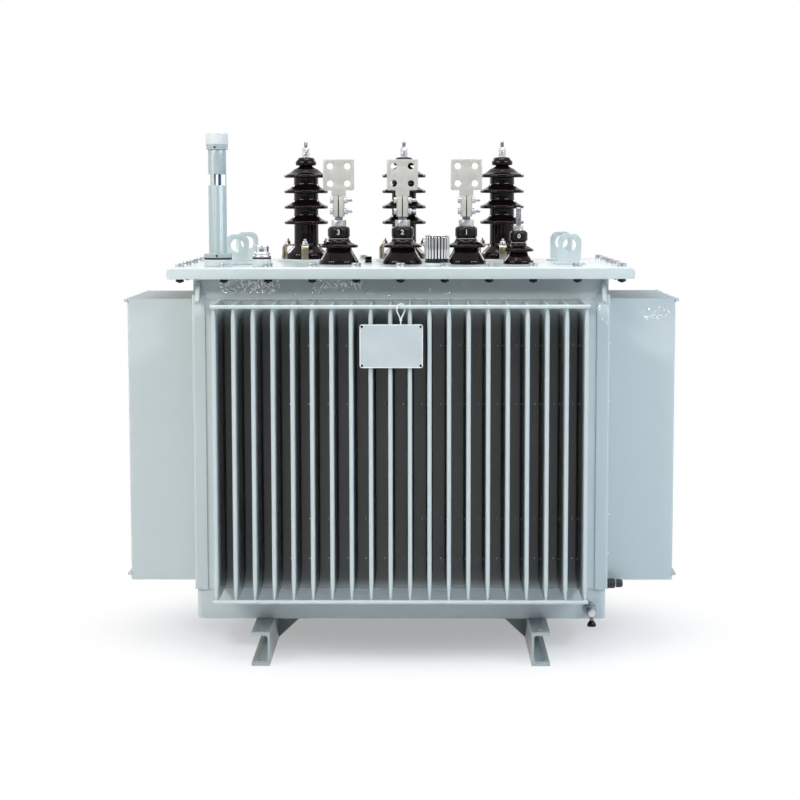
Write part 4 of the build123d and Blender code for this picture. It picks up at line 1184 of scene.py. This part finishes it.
def shown_directly(tree, rays):
    """One for rays that show the surroundings: seen, reflected or through glass."""
    reflected = joined(tree, "MAXIMUM", rays["Is Glossy Ray"], rays["Is Transmission Ray"])
    return joined(tree, "MAXIMUM", rays["Is Camera Ray"], reflected)


# White all round for the eye, with a darker room behind the viewer in reflections
world = bpy.data.worlds.new("studio")
scene.world = world
world.use_nodes = True
sky_tree = world.node_tree
sky_rays = sky_tree.nodes.new("ShaderNodeLightPath").outputs
plain_light = sky_tree.nodes["Background"]
plain_light.inputs["Color"].default_value = (1, 1, 1, 1)
plain_light.inputs["Strength"].default_value = 0.3
white = sky_tree.nodes.new("ShaderNodeBackground")
white.inputs["Color"].default_value = (1, 1, 1, 1)
reflected_room = eased_step(sky_tree, split_place(sky_tree)["Y"], -0.95, -0.5, 0.3, 1.0)
room_level = joined(sky_tree, "MAXIMUM", sky_rays["Is Camera Ray"], reflected_room)
sky_tree.links.new(room_level, white.inputs["Strength"])
chooser = sky_tree.nodes.new("ShaderNodeMixShader")
sky_tree.links.new(shown_directly(sky_tree, sky_rays), chooser.inputs["Fac"])
sky_tree.links.new(plain_light.outputs["Background"], chooser.inputs[1])
sky_tree.links.new(white.outputs["Background"], chooser.inputs[2])
sky_tree.links.new(chooser.outputs["Shader"], sky_tree.nodes["World Output"].inputs["Surface"])

# Floor: it takes the tank's shadow and turns plain white further out
FLOOR_REACH = 14.0
floor_mesh = bmesh.new()
bmesh.ops.create_grid(floor_mesh, x_segments=1, y_segments=1, size=FLOOR_REACH)
floor_data = bpy.data.meshes.new("floor")
floor_mesh.to_mesh(floor_data)
floor_mesh.free()
floor = bpy.data.objects.new("floor", floor_data)
scene.collection.objects.link(floor)
floor_finish = Finish("pale_floor", (0.85, 0.885, 0.95, 1), 0.9, specular=0.0)
floor_finish.mottled((0.84, 0.875, 0.94, 1), 1.5)
floor_tree = floor_finish.tree
floor_rays = floor_tree.nodes.new("ShaderNodeLightPath").outputs
floor_place = split_place(floor_tree)
share_x = joined(floor_tree, "MULTIPLY", floor_place["X"], 0.95)
share_y = joined(floor_tree, "MULTIPLY", floor_place["Y"], 1.35)
square_x = joined(floor_tree, "MULTIPLY", share_x, share_x)
square_y = joined(floor_tree, "MULTIPLY", share_y, share_y)
distance = joined(floor_tree, "ADD", square_x, square_y)
far_out = eased_step(floor_tree, distance, 0.0, 0.75, 0.36, 1.0)
whiteness = joined(floor_tree, "MULTIPLY", far_out, shown_directly(floor_tree, floor_rays))
floor_white = floor_tree.nodes.new("ShaderNodeEmission")
floor_white.inputs["Color"].default_value = (1, 1, 1, 1)
floor_mix = floor_tree.nodes.new("ShaderNodeMixShader")
floor_tree.links.new(whiteness, floor_mix.inputs["Fac"])
floor_tree.links.new(floor_finish.shader.outputs["BSDF"], floor_mix.inputs[1])
floor_tree.links.new(floor_white.outputs["Emission"], floor_mix.inputs[2])
floor_tree.links.new(
    floor_mix.outputs["Shader"], floor_tree.nodes["Material Output"].inputs["Surface"]
)
floor_data.materials.append(floor_finish.material)

scene.view_settings.view_transform = "Standard"
